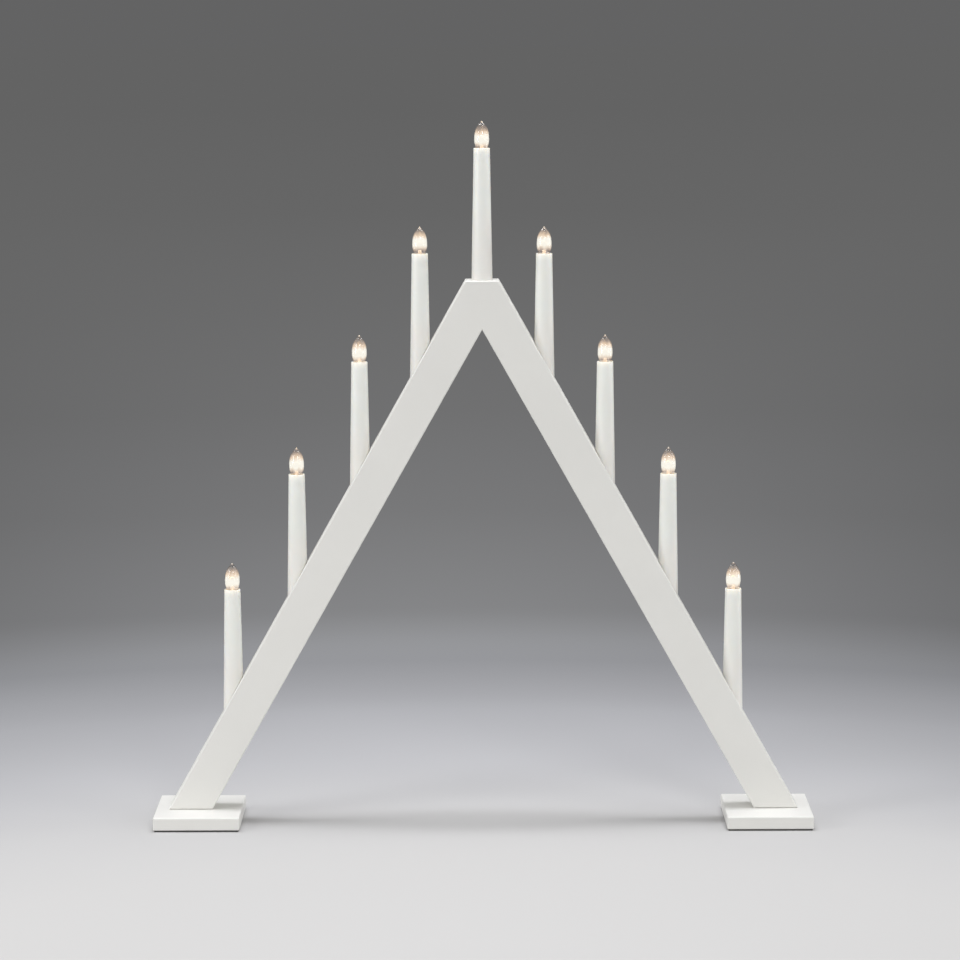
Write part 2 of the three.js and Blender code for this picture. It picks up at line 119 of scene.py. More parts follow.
@dataclass(frozen=True)
class Pattern:
    """A soft noise: waves for each metre, layers of finer ones over it, and a stretch.

    A stretch below 1 draws the noise out along that axis.
    """

    waves: float
    layers: float = 2.0
    stretch: Triple = EVEN


class Graph:
    """A shader node tree that is built by short calls."""

    def __init__(self, owner: bpy.types.Material | bpy.types.World) -> None:
        """Empties the owner's node tree.

        Args:
            owner: the material or world that the nodes belong to.
        """
        owner.use_nodes = True
        self.end = "OutputWorld" if isinstance(owner, bpy.types.World) else "OutputMaterial"
        self.tree = owner.node_tree
        self.tree.nodes.clear()

    def add(self, kind: str, inputs: dict | None = None, **settings: object) -> bpy.types.Node:
        """Adds one node.

        Args:
            kind: the node's type, without its ShaderNode prefix.
            inputs: what goes into its sockets, by name or number: a value or another socket.
            **settings: the node's own settings.

        Returns:
            The new node.
        """
        node = self.tree.nodes.new("ShaderNode" + kind)
        for name, value in settings.items():
            setattr(node, name, value)
        for key, value in (inputs or {}).items():
            socket = node.inputs[key]
            if isinstance(value, Socket):
                self.tree.links.new(value, socket)
            else:
                socket.default_value = value
        return node

    def wire(self, kind: str, inputs: dict | None = None, out: str | int = 0, **settings: object) -> Socket:
        """Adds one node, as add does, and gives the output that it is read at."""
        return self.add(kind, inputs, **settings).outputs[out]

    def reckon(self, operation: str, *values: Socket | float) -> Socket:
        """One sum on values, by Blender's name for it."""
        return self.wire("Math", dict(enumerate(values)), operation=operation)

    def noise(self, pattern: Pattern, turn: float = 0.0) -> Socket:
        """Soft noise that lies differently on each object.

        Args:
            pattern: its scale, layers and stretch.
            turn: angle about Y before the stretch, in radians.

        Returns:
            The noise's socket, around 0.5.
        """
        coords = self.wire("TexCoord", out="Object")
        shift = self.wire("ObjectInfo", out="Random")
        moved = self.wire("VectorMath", {0: coords, 1: shift}, operation="ADD")
        place = self.wire("Mapping", {"Vector": moved, "Rotation": (0, turn, 0), "Scale": pattern.stretch})
        inputs = {"Vector": place, "Scale": pattern.waves, "Detail": pattern.layers}
        return self.wire("TexNoise", inputs, "Fac")

    def spread(self, value: Socket, onto: Span, span: Span = USUAL, **settings: str) -> Socket:
        """Stretches a value to a new range.

        Args:
            value: the value.
            onto: the new range.
            span: the range that it has; what lies outside is held at its ends.
            **settings: the node's own settings.

        Returns:
            The new value's socket.
        """
        ends = {"From Min": span[0], "From Max": span[1], "To Min": onto[0], "To Max": onto[1]}
        return self.wire("MapRange", {"Value": value} | ends, **settings)

    def share(self, pattern: Pattern) -> Socket:
        """Noise that is stretched to run from 0 to 1."""
        return self.spread(self.noise(pattern), WHOLE)

    def blend(self, share: Socket | float, first: Socket | Colour, second: Socket | Colour) -> Socket:
        """A colour between two.

        Args:
            share: 0 for the first colour and 1 for the second.
            first: a colour or its socket.
            second: a colour or its socket.

        Returns:
            The colour's socket.
        """
        ends = [end if isinstance(end, Socket) else (*end, 1.0) for end in (first, second)]
        # This node takes its colours at inputs 6 and 7 and gives their blend at output 2.
        return self.wire("Mix", {0: share, 6: ends[0], 7: ends[1]}, 2, data_type="RGBA")

    def ramp(self, value: Socket, stops: list[tuple[float, Colour]]) -> Socket:
        """A colour ramp.

        Args:
            value: where on the ramp to read, from 0 to 1.
            stops: places and colours, in order.

        Returns:
            The colour's socket.
        """
        node = self.add("ValToRGB", {"Fac": value})
        elements = node.color_ramp.elements
        while len(elements) < len(stops):
            elements.new(1.0)
        for element, (place, colour) in zip(elements, stops):
            element.position = place
            element.color = (*colour, 1.0)
        return node.outputs["Color"]

    def height(self, low: float, high: float) -> Socket:
        """How far up its object a point is: 0 at low and 1 at high, in the object's own frame."""
        coords = self.wire("TexCoord", out="Object")
        return self.spread(self.wire("SeparateXYZ", {0: coords}, "Z"), WHOLE, (low, high))

    def bump(self, *heights: tuple[Socket, float]) -> Socket:
        """Bumps laid over each other.

        Args:
            *heights: pairs of a height pattern and its depth in metres.

        Returns:
            The normal's socket.
        """
        under = {}
        for pattern, depth in heights:
            inputs = {"Height": pattern, "Distance": depth, "Strength": 1.0}
            under = {"Normal": self.wire("Bump", inputs | under, "Normal")}
        return under["Normal"]

    def principled(self, inputs: dict) -> Socket:
        """A principled shader with those inputs."""
        return self.wire("BsdfPrincipled", inputs)

    def mixed(self, share: Socket, first: Socket, second: Socket) -> Socket:
        """A shader between two: the first at a share of 0, the second at 1."""
        return self.wire("MixShader", {0: share, 1: first, 2: second})

    def surface(self, shader: Socket) -> None:
        """Joins the shader to the tree's output."""
        self.add(self.end, {"Surface": shader})


class Finish:
    """A surface finish, which makes its Blender material once for each name."""

    name: str

    def paint(self, graph: Graph) -> Socket:
        """Makes the shader; each finish has its own."""
        raise NotImplementedError

    def material(self) -> bpy.types.Material:
        """The finish's material, made when it is first asked for.

        Returns:
            The material.
        """
        found = bpy.data.materials.get(self.name)
        if found is None:
            found = bpy.data.materials.new(self.name)
            graph = Graph(found)
            graph.surface(self.paint(graph))
        return found


@dataclass(frozen=True)
class Lacquer(Finish):
    """Sprayed satin white lacquer over close-grained wood, whose grain leans from upright."""

    name: str
    lean: float
    light: Colour = (0.762, 0.755, 0.723)
    shade: Colour = (0.742, 0.735, 0.703)
    clouds: Pattern = Pattern(11.0, 3.0)
    patches: Pattern = Pattern(60.0, 3.0)
    roughness: Span = (0.46, 0.56)
    grain: Pattern = Pattern(420.0, 4.0, (1.0, 1.0, 0.07))
    grain_depth: float = 0.03 * MM
    skin: Pattern = Pattern(900.0, 1.0)
    skin_depth: float = 0.012 * MM

    def paint(self, graph: Graph) -> Socket:
        """Grain shows faintly through the coat, and the spray leaves a fine skin.

        Args:
            graph: the material's nodes.

        Returns:
            The shader's socket.
        """
        grain, skin = graph.noise(self.grain, self.lean), graph.noise(self.skin)
        return graph.principled({
            "Base Color": graph.blend(graph.share(self.clouds), self.shade, self.light),
            "Roughness": graph.spread(graph.noise(self.patches), self.roughness),
            "Specular IOR Level": 0.3,
            "Normal": graph.bump((grain, self.grain_depth), (skin, self.skin_depth)),
        })


@dataclass(frozen=True)
class SleevePlastic(Finish):
    """Milky white plastic tube, with a little of the bulb's light painted into its top.

    The tones are stops from the foot of the tube to its rim.
    """

    name: str = "milky_sleeve_plastic"
    length: float = 142 * MM
    tones: tuple[tuple[float, Colour], ...] = (
        (0.0, (0.855, 0.82, 0.765)), (0.45, (0.855, 0.825, 0.77)),
        (0.62, (0.85, 0.845, 0.785)), (1.0, (0.88, 0.875, 0.815)),
    )
    light: Colour = (0.86, 0.86, 0.82)
    shade: Colour = (0.74, 0.73, 0.69)
    clouds: Pattern = Pattern(45.0, 3.0)
    cloud_share: float = 0.12
    patches: Pattern = Pattern(150.0, 3.0)
    roughness: Span = (0.30, 0.40)
    scatter: Triple = (4 * MM, 3 * MM, 2.2 * MM)
    glow: Colour = (0.16, 0.125, 0.075)
    glow_depth: float = 9 * MM
    glow_fall: float = 2.0
    streaks: Pattern = Pattern(700.0, 2.0, (1.0, 1.0, 0.05))
    streak_depth: float = 0.008 * MM

    def paint(self, graph: Graph) -> Socket:
        """Lighter and cooler near the top, a little warmer and darker towards the foot.

        Args:
            graph: the material's nodes.

        Returns:
            The shader's socket.
        """
        tone = graph.ramp(graph.height(-self.length, 0.0), self.tones)
        cloud = graph.blend(graph.share(self.clouds), self.shade, self.light)
        painted_light_share = graph.reckon("POWER", graph.height(-self.glow_depth, 0.0), self.glow_fall)
        return graph.principled({
            "Base Color": graph.blend(self.cloud_share, tone, cloud),
            "Roughness": graph.spread(graph.noise(self.patches), self.roughness),
            "Subsurface Weight": 0.25,
            "Subsurface Radius": self.scatter,
            "Subsurface Scale": 1.0,
            # Painted light: the bulb's light on the top of the sleeve is painted in as emission, fading down
            # from the rim.
            "Emission Color": graph.blend(painted_light_share, BLACK, self.glow),
            "Emission Strength": 1.0,
            "Normal": graph.bump((graph.noise(self.streaks), self.streak_depth)),
        })


@dataclass(frozen=True)
class ClearGlass(Finish):
    """Thin clear bulb glass."""

    name: str = "clear_bulb_glass"
    light: Colour = (1.0, 0.985, 0.97)
    shade: Colour = (0.97, 0.95, 0.93)
    waves: Pattern = Pattern(160.0, 2.0, (1.0, 1.0, 0.4))
    wave_depth: float = 0.04 * MM

    def paint(self, graph: Graph) -> Socket:
        """Slight waves from the drawing of the glass.

        Args:
            graph: the material's nodes.

        Returns:
            The shader's socket.
        """
        waves = graph.noise(self.waves)
        return graph.principled({
            "Base Color": graph.blend(graph.spread(waves, WHOLE), self.shade, self.light),
            "Roughness": 0.02,
            "IOR": 1.47,
            "Transmission Weight": 1.0,
            "Normal": graph.bump((waves, self.wave_depth)),
        })


@dataclass(frozen=True)
class LitGlass(Finish):
    """The inside of the bulb glass, painted with light round the filament and clear at both ends.

    The lights and the covers are stops from its low end to its high end: the light's colour,
    and how much of the glass it covers. Bulbs are unlike each other by a shift of these.
    """

    name: str = "lit_bulb_glass"
    low: float = 0.5 * MM
    high: float = 25 * MM
    unlike: float = 0.07
    streaks: Pattern = Pattern(260.0, 2.0, (1.0, 1.0, 0.25))
    wobble: float = 0.05
    clear: Colour = (1.0, 0.98, 0.96)
    lights: tuple[tuple[float, Colour], ...] = (
        (0.0, (0.58, 0.43, 0.35)), (0.08, (0.84, 0.66, 0.52)), (0.17, (0.95, 0.84, 0.70)),
        (0.26, (1.0, 0.97, 0.87)), (0.50, (1.0, 0.975, 0.89)), (0.66, (0.93, 0.72, 0.53)),
        (0.82, (0.60, 0.47, 0.39)), (1.0, (0.40, 0.35, 0.33)),
    )
    covers: tuple[Point, ...] = (
        (0.0, 0.12), (0.08, 0.34), (0.17, 0.76), (0.26, 0.96),
        (0.52, 0.96), (0.68, 0.55), (0.84, 0.20), (1.0, 0.02),
    )

    def paint(self, graph: Graph) -> Socket:
        """The light is cream at the filament and fades through amber towards the tip.

        Args:
            graph: the material's nodes.

        Returns:
            The shader's socket.
        """
        wobble = graph.spread(graph.noise(self.streaks), (-self.wobble, self.wobble))
        own = graph.wire("ObjectInfo", out="Random")
        shift = graph.spread(own, (-self.unlike, self.unlike), WHOLE)
        place = graph.reckon("ADD", graph.height(self.low, self.high), graph.reckon("ADD", wobble, shift))
        # Painted light: the filament's light is painted on the inside of the glass as emission, covering the
        # glass most where it is brightest.
        light = graph.wire("Emission", {"Color": graph.ramp(place, self.lights), "Strength": 1.0})
        cover = graph.ramp(place, [(at, (share, share, share)) for at, share in self.covers])
        glass = graph.principled({
            "Base Color": (*self.clear, 1.0),
            "Roughness": 0.02,
            "IOR": 1.47,
            "Transmission Weight": 1.0,
        })
        return graph.mixed(cover, glass, light)


@dataclass(frozen=True)
class GlowingWire(Finish):
    """Tungsten wire, white hot along the coil."""

    name: str = "glowing_filament"
    metal: Colour = (0.35, 0.33, 0.31)
    hot: Colour = (1.0, 0.82, 0.52)
    cooler: Colour = (1.0, 0.66, 0.30)
    strength: float = 4.0
    patches: Pattern = Pattern(600.0)

    def paint(self, graph: Graph) -> Socket:
        """Brighter in some patches of the coil than in others.

        Args:
            graph: the material's nodes.

        Returns:
            The shader's socket.
        """
        return graph.principled({
            "Base Color": (*self.metal, 1.0),
            "Metallic": 1.0,
            "Roughness": 0.4,
            "Emission Color": graph.blend(graph.share(self.patches), self.cooler, self.hot),
            "Emission Strength": self.strength,
        })


@dataclass(frozen=True)
class StemGlass(Finish):
    """Pressed glass stem, half clear, with the warm light of the filament beside it painted on."""

    name: str = "pressed_stem_glass"
    light: Colour = (0.96, 0.92, 0.86)
    shade: Colour = (0.88, 0.80, 0.70)
    glow_light: Colour = (0.42, 0.33, 0.24)
    glow_shade: Colour = (0.30, 0.22, 0.15)
    roughness: Span = (0.15, 0.35)
    clouds: Pattern = Pattern(420.0, 3.0)

    def paint(self, graph: Graph) -> Socket:
        """Cloudy where the glass was pinched.

        Args:
            graph: the material's nodes.

        Returns:
            The shader's socket.
        """
        cloud = graph.share(self.clouds)
        return graph.principled({
            "Base Color": graph.blend(cloud, self.shade, self.light),
            "Roughness": graph.spread(cloud, self.roughness, WHOLE),
            "Transmission Weight": 0.4,
            # Painted light: the filament's light on the stem is painted in as emission.
            "Emission Color": graph.blend(cloud, self.glow_shade, self.glow_light),
            "Emission Strength": 1.0,
        })


@dataclass(frozen=True)
class Metal(Finish):
    """A bright or plated metal with fine rubbing marks; its roughness goes from dull to bright."""

    name: str
    light: Colour
    dark: Colour
    roughness: Span
    patches: Pattern = Pattern(130.0, 4.0)
    marks: Pattern = Pattern(2700.0, 2.0, (0.15, 0.15, 1.0))
    mark_depth: float = 0.006 * MM

    def paint(self, graph: Graph) -> Socket:
        """Duller and darker in patches, with hairline marks round the piece.

        Args:
            graph: the material's nodes.

        Returns:
            The shader's socket.
        """
        patches = graph.share(self.patches)
        return graph.principled({
            "Base Color": graph.blend(patches, self.dark, self.light),
            "Metallic": 1.0,
            "Roughness": graph.spread(patches, self.roughness, WHOLE),
            "Normal": graph.bump((graph.noise(self.marks), self.mark_depth)),
        })


@dataclass(frozen=True)
class Moulding(Finish):
    """A plain moulded plastic or rubber, with a fine tool texture."""

    name: str
    light: Colour
    dark: Colour
    roughness: float
    texture: Pattern = Pattern(1400.0)
    depth: float = 0.01 * MM
    clouds: Pattern = Pattern(90.0, 3.0)
    uneven: float = 0.05

    def paint(self, graph: Graph) -> Socket:
        """Flow clouds in the colour and a fine even grain on the skin.

        Args:
            graph: the material's nodes.

        Returns:
            The shader's socket.
        """
        grain = graph.noise(self.texture)
        return graph.principled({
            "Base Color": graph.blend(graph.share(self.clouds), self.dark, self.light),
            "Roughness": graph.spread(grain, (self.roughness - self.uneven, self.roughness + self.uneven)),
            "Normal": graph.bump((grain, self.depth)),
        })


@dataclass(frozen=True)
class Felt(Finish):
    """Dense dark pressed felt."""

    name: str = "dark_felt"
    light: Colour = (0.060, 0.056, 0.050)
    dark: Colour = (0.018, 0.017, 0.015)
    fibres: Pattern = Pattern(2600.0, 5.0, (1.0, 0.35, 1.0))
    fibre_depth: float = 0.09 * MM
    mats: Pattern = Pattern(500.0, 4.0)
    mat_depth: float = 0.18 * MM

    def paint(self, graph: Graph) -> Socket:
        """Matted fibres of mixed tones.

        Args:
            graph: the material's nodes.

        Returns:
            The shader's socket.
        """
        fibres = graph.noise(self.fibres)
        return graph.principled({
            "Base Color": graph.blend(graph.spread(fibres, WHOLE), self.dark, self.light),
            "Roughness": 0.95,
            "Sheen Weight": 0.35,
            "Sheen Roughness": 0.6,
            "Normal": graph.bump((graph.noise(self.mats), self.mat_depth), (fibres, self.fibre_depth)),
        })


@dataclass(frozen=True)
class BareWood(Finish):
    """Unpainted beech with its short flecks."""

    name: str = "bare_beech"
    light: Colour = (0.66, 0.47, 0.28)
    dark: Colour = (0.46, 0.29, 0.155)
    rings: Pattern = Pattern(260.0, 5.0, (1.0, 1.0, 0.12))
    flecks: Pattern = Pattern(1500.0, 2.0, (1.0, 1.0, 0.3))
    fleck_depth: float = 0.04 * MM
    roughness: Span = (0.6, 0.78)

    def paint(self, graph: Graph) -> Socket:
        """Flecks and rings drawn out along the grain.

        Args:
            graph: the material's nodes.

        Returns:
            The shader's socket.
        """
        flecks = graph.noise(self.flecks)
        return graph.principled({
            "Base Color": graph.blend(graph.share(self.rings), self.dark, self.light),
            "Roughness": graph.spread(flecks, self.roughness),
            "Normal": graph.bump((flecks, self.fleck_depth)),
        })


BRASS = Metal("bright_brass", (0.78, 0.62, 0.32), (0.60, 0.46, 0.22), (0.34, 0.20))
SOLDER = Metal("solder", (0.60, 0.61, 0.62), (0.42, 0.43, 0.44), (0.45, 0.30))
LEAD_WIRE = Metal("lead_wire", (0.52, 0.50, 0.47), (0.40, 0.38, 0.36), (0.42, 0.30))
ZINC = Metal("zinc_plated_steel", (0.62, 0.63, 0.65), (0.45, 0.46, 0.48), (0.42, 0.28))
CONE_GLASS = Moulding("insulating_cone", (0.02, 0.02, 0.022), (0.012, 0.012, 0.013), 0.2)
HOLDER_PLASTIC = Moulding("holder_plastic", (0.74, 0.71, 0.63), (0.68, 0.65, 0.57), 0.5)
INSULATION = Moulding("wire_insulation", (0.72, 0.70, 0.64), (0.64, 0.62, 0.56), 0.5)
RUBBER = Moulding("gland_rubber", (0.62, 0.61, 0.58), (0.52, 0.51, 0.48), 0.68, Pattern(1800.0), 0.02 * MM)


# Mesh work


def new_object(name: str, mesh: Mesh, at: Vector | None = None) -> Piece:
    """Links an object with that mesh into the scene.

    Args:
        name: the piece's name.
        mesh: its mesh, which copies may share.
        at: where its origin goes; the frame's origin when left out.

    Returns:
        The new object.
    """
    made = bpy.data.objects.new(name, mesh)
    made.location = at or Vector()
    bpy.context.scene.collection.objects.link(made)
    return made


def to_mesh(name: str, bm: Form) -> Mesh:
    """Writes a form out as a mesh with its faces pointing out.

    Args:
        name: the mesh's name.
        bm: the form, which is used up.

    Returns:
        The mesh.
    """
    bmesh.ops.recalc_face_normals(bm, faces=bm.faces)
    mesh = bpy.data.meshes.new(name)
    bm.to_mesh(mesh)
    bm.free()
    return mesh


def in_mm(*points: Point) -> list[Point]:
    """Points that are given in millimetres."""
    return [(across * MM, along * MM) for across, along in points]


def round_angles(sides: int) -> list[float]:
    """Angles in even steps once round."""
    return [2 * math.pi * k / sides for k in range(sides)]


def circle(bm: Form, radius: float, height: float, sides: int) -> list[Corner]:
    """Adds a level ring of corners about Z.

    Args:
        bm: the form that it goes into.
        radius: its radius; none gives one corner on the axis.
        height: its height.
        sides: how many corners it has.

    Returns:
        The ring's corners.
    """
    if radius < SAME_POINT:
        return [bm.verts.new((0, 0, height))]
    return [bm.verts.new((radius * math.cos(a), radius * math.sin(a), height)) for a in round_angles(sides)]


def skin(bm: Form, rings: list[list[Corner]], closed: bool = False) -> None:
    """Joins rings of corners with faces.

    Args:
        bm: the form that holds the rings.
        rings: the rings in order; a ring of one corner is a point.
        closed: whether the last ring joins the first.
    """
    sides = max(len(ring) for ring in rings)
    pairs = list(zip(rings, rings[1:]))
    if closed:
        pairs.append((rings[-1], rings[0]))
    for upper, lower in pairs:
        for k in range(sides):
            j = (k + 1) % sides
            ends = [(upper, k), (upper, j), (lower, j), (lower, k)]
            corners = list(dict.fromkeys(ring[i % len(ring)] for ring, i in ends))
            if len(corners) > 2:
                bm.faces.new(corners)


def prism(outline: list[Point], front: float, back: float) -> Form:
    """A board with an outline in the front view.

    Args:
        outline: X and Z of its corners, in order.
        front: Y of its front face.
        back: Y of its back face.

    Returns:
        The closed board.
    """
    bm = bmesh.new()
    rings = [[bm.verts.new((x, y, z)) for x, z in outline] for y in (front, back)]
    for ring in rings:
        bm.faces.new(ring)
    skin(bm, rings)
    bmesh.ops.recalc_face_normals(bm, faces=bm.faces)
    return bm


def block(low: Vector, high: Vector) -> Form:
    """A box from its lowest to its highest corner."""
    outline = [(low.x, low.z), (high.x, low.z), (high.x, high.z), (low.x, high.z)]
    return prism(outline, low.y, high.y)


def rounded(bm: Form, radius: float, segments: int, keep: Callable[[Edge], bool] | None = None) -> Form:
    """Rounds a board's edges.

    Args:
        bm: the board, which is changed.
        radius: radius of the rounding.
        segments: facets across each rounding.
        keep: a test that says which edges to round; all of them when left out.

    Returns:
        The same board.
    """
    edges = [edge for edge in bm.edges if keep is None or keep(edge)]
    bmesh.ops.bevel(
        bm, geom=edges, offset=radius, offset_type="OFFSET", segments=segments,
        profile=0.5, affect="EDGES", clamp_overlap=True,
    )
    return bm


def turned(profile: list[Point], sides: int) -> Form:
    """A turned piece about Z.

    Args:
        profile: radius and height of each ring; a radius of 0 is a point on the axis.
        sides: facets round the piece.

    Returns:
        The piece, closed if its profile starts and ends on the axis or comes back to its start.
    """
    bm = bmesh.new()
    skin(bm, [circle(bm, radius, height, sides) for radius, height in profile])
    bmesh.ops.remove_doubles(bm, verts=bm.verts, dist=SAME_POINT)
    return bm


def rod(radius: float, start: Vector, end: Vector, sides: int = 64) -> Form:
    """A round rod.

    Args:
        radius: its radius.
        start: middle of its first end.
        end: middle of its other end.
        sides: facets round it.

    Returns:
        The closed rod.
    """
    length = (end - start).length
    bm = turned([(0, 0), (radius, 0), (radius, length), (0, length)], sides)
    turn = (end - start).to_track_quat("Z", "Y").to_matrix().to_4x4()
    bmesh.ops.transform(bm, matrix=Matrix.Translation(start) @ turn, verts=bm.verts)
    bmesh.ops.recalc_face_normals(bm, faces=bm.faces)
    return bm


def swept(path: list[Vector], radius: float, sides: int) -> Form:
    """A round wire along a path, closed at both ends.

    Args:
        path: points along its middle.
        radius: radius of the wire.
        sides: facets round it.

    Returns:
        The wire.
    """
    bm = bmesh.new()
    rings = []
    side = Vector((0, 1, 0))
    for before, point, after in zip([path[0], *path], path, [*path[1:], path[-1]]):
        ahead = (after - before).normalized()
        side = (side - ahead * side.dot(ahead)).normalized()
        across = ahead.cross(side)
        spokes = [math.cos(a) * side + math.sin(a) * across for a in round_angles(sides)]
        rings.append([bm.verts.new(point + radius * spoke) for spoke in spokes])
    skin(bm, rings)
    for end in (rings[0], rings[-1]):
        bm.faces.new(end)
    bmesh.ops.recalc_face_normals(bm, faces=bm.faces)
    return bm


def carve(mesh: Mesh, tools: list[Form], cut: Cut = Cut.AWAY) -> Mesh:
    """Cuts a mesh by one closed tool after another.

    Args:
        mesh: the blank, which is used up.
        tools: the closed tools, which are used up.
        cut: whether the inside of a tool is cut away or kept.

    Returns:
        The cut mesh.
    """
    blank = new_object("blank", mesh)
    cutters = [new_object("cutter", to_mesh("cutter", tool)) for tool in tools]
    for cutter in cutters:
        step = blank.modifiers.new("cut", "BOOLEAN")
        step.operation = cut.value
        step.solver = "EXACT"
        step.object = cutter
    shape = blank.evaluated_get(bpy.context.evaluated_depsgraph_get())
    bm = bmesh.new()
    bm.from_mesh(shape.data)
    bmesh.ops.dissolve_degenerate(bm, dist=SAME_POINT, edges=bm.edges)
    for spare in [blank, *cutters]:
        old = spare.data
        bpy.data.objects.remove(spare)
        bpy.data.meshes.remove(old)
    return to_mesh("carved", bm)


def joined(parts: list[Mesh]) -> Mesh:
    """Puts several meshes into one, each with a material slot of its own.

    Args:
        parts: the meshes, which are used up; faces of the first get slot 0, of the second slot 1,
            and so on.

    Returns:
        The one mesh.
    """
    bm = bmesh.new()
    for number, part in enumerate(parts):
        seen = len(bm.faces)
        bm.from_mesh(part)
        bm.faces.ensure_lookup_table()
        for face in bm.faces[seen:]:
            face.material_index = number
        bpy.data.meshes.remove(part)
    mesh = bpy.data.meshes.new("joined")
    bm.to_mesh(mesh)
    bm.free()
    return mesh


def smooth(mesh: Mesh, angle: float = 35.0) -> Mesh:
    """Shades a mesh smooth but for its sharp edges.

    Args:
        mesh: the mesh, which is changed.
        angle: least angle of a sharp edge, in degrees.

    Returns:
        The same mesh.
    """
    mesh.polygons.foreach_set("use_smooth", [True] * len(mesh.polygons))
    mesh.set_sharp_from_angle(angle=math.radians(angle))
    return mesh


def flow(points: list[Point], steps: int) -> list[Point]:
    """A smooth curve through points.

    Args:
        points: radius and height of each station.
        steps: stretches between two stations.

    Returns:
        The points along the curve, its stations among them.
    """
    stations = [np.array(point) for point in (points[0], *points, points[-1])]
    out = []
    for a, b, c, d in zip(stations, stations[1:], stations[2:], stations[3:]):
        for t in np.arange(steps) / steps:
            straight = 2 * b + (c - a) * t
            curved = (2 * a - 5 * b + 4 * c - d) * t**2 + (3 * b - a - 3 * c + d) * t**3
            radius, height = 0.5 * (straight + curved)
            out.append((max(float(radius), 0.0), float(height)))
    return [*out, points[-1]]


def arc(centre: Point, radius: float, start: float, end: float, steps: int) -> list[Point]:
    """Points along an arc of a profile.

    Args:
        centre: the arc's centre.
        radius: its radius.
        start: angle of its first point, in degrees.
        end: angle of its last point, in degrees.
        steps: stretches between the points.

    Returns:
        The points.
    """
    turns = [math.radians(start + (end - start) * i / steps) for i in range(steps + 1)]
    return [(centre[0] + radius * math.cos(a), centre[1] + radius * math.sin(a)) for a in turns]


def dress(piece: Piece, finishes: list[Finish], body: str, node: str) -> Piece:
    """Gives a piece its materials and its body, and hides the frame's node that it stands for.

    Args:
        piece: the piece.
        finishes: one for each of its material slots.
        body: the body it rides on.
        node: the frame's node that it replaces.

    Returns:
        The piece.
    """
    if not piece.data.materials:
        for finish in finishes:
            piece.data.materials.append(finish.material())
    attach(piece, body)
    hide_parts(node)
    log.info("%s: %d faces, rides on %s", piece.name, len(piece.data.polygons), body)
    return piece


def dress_board(name: str, mesh: Mesh, finish: Finish, node: str) -> Piece:
    """Makes a lacquered board of the stand, shaded flat between its roundings.

    Args:
        name: the piece's name.
        mesh: its mesh.
        finish: its lacquer.
        node: the frame's node that it replaces.

    Returns:
        The piece.
    """
    board = new_object(name, mesh)
    board.modifiers.new("even_shading", "WEIGHTED_NORMAL").keep_sharp = True
    return dress(board, [finish], STAND, node)


def finish_node(node: str, finish: Finish) -> None:
    """Gives a node of the frame that keeps its shape a finish of its own.

    Args:
        node: the node's name.
        finish: its finish.
    """
    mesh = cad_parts[node].data
    mesh.materials.clear()
    mesh.materials.append(finish.material())
    log.info("%s keeps its shape and is finished as %s", node, finish.name)


# The object


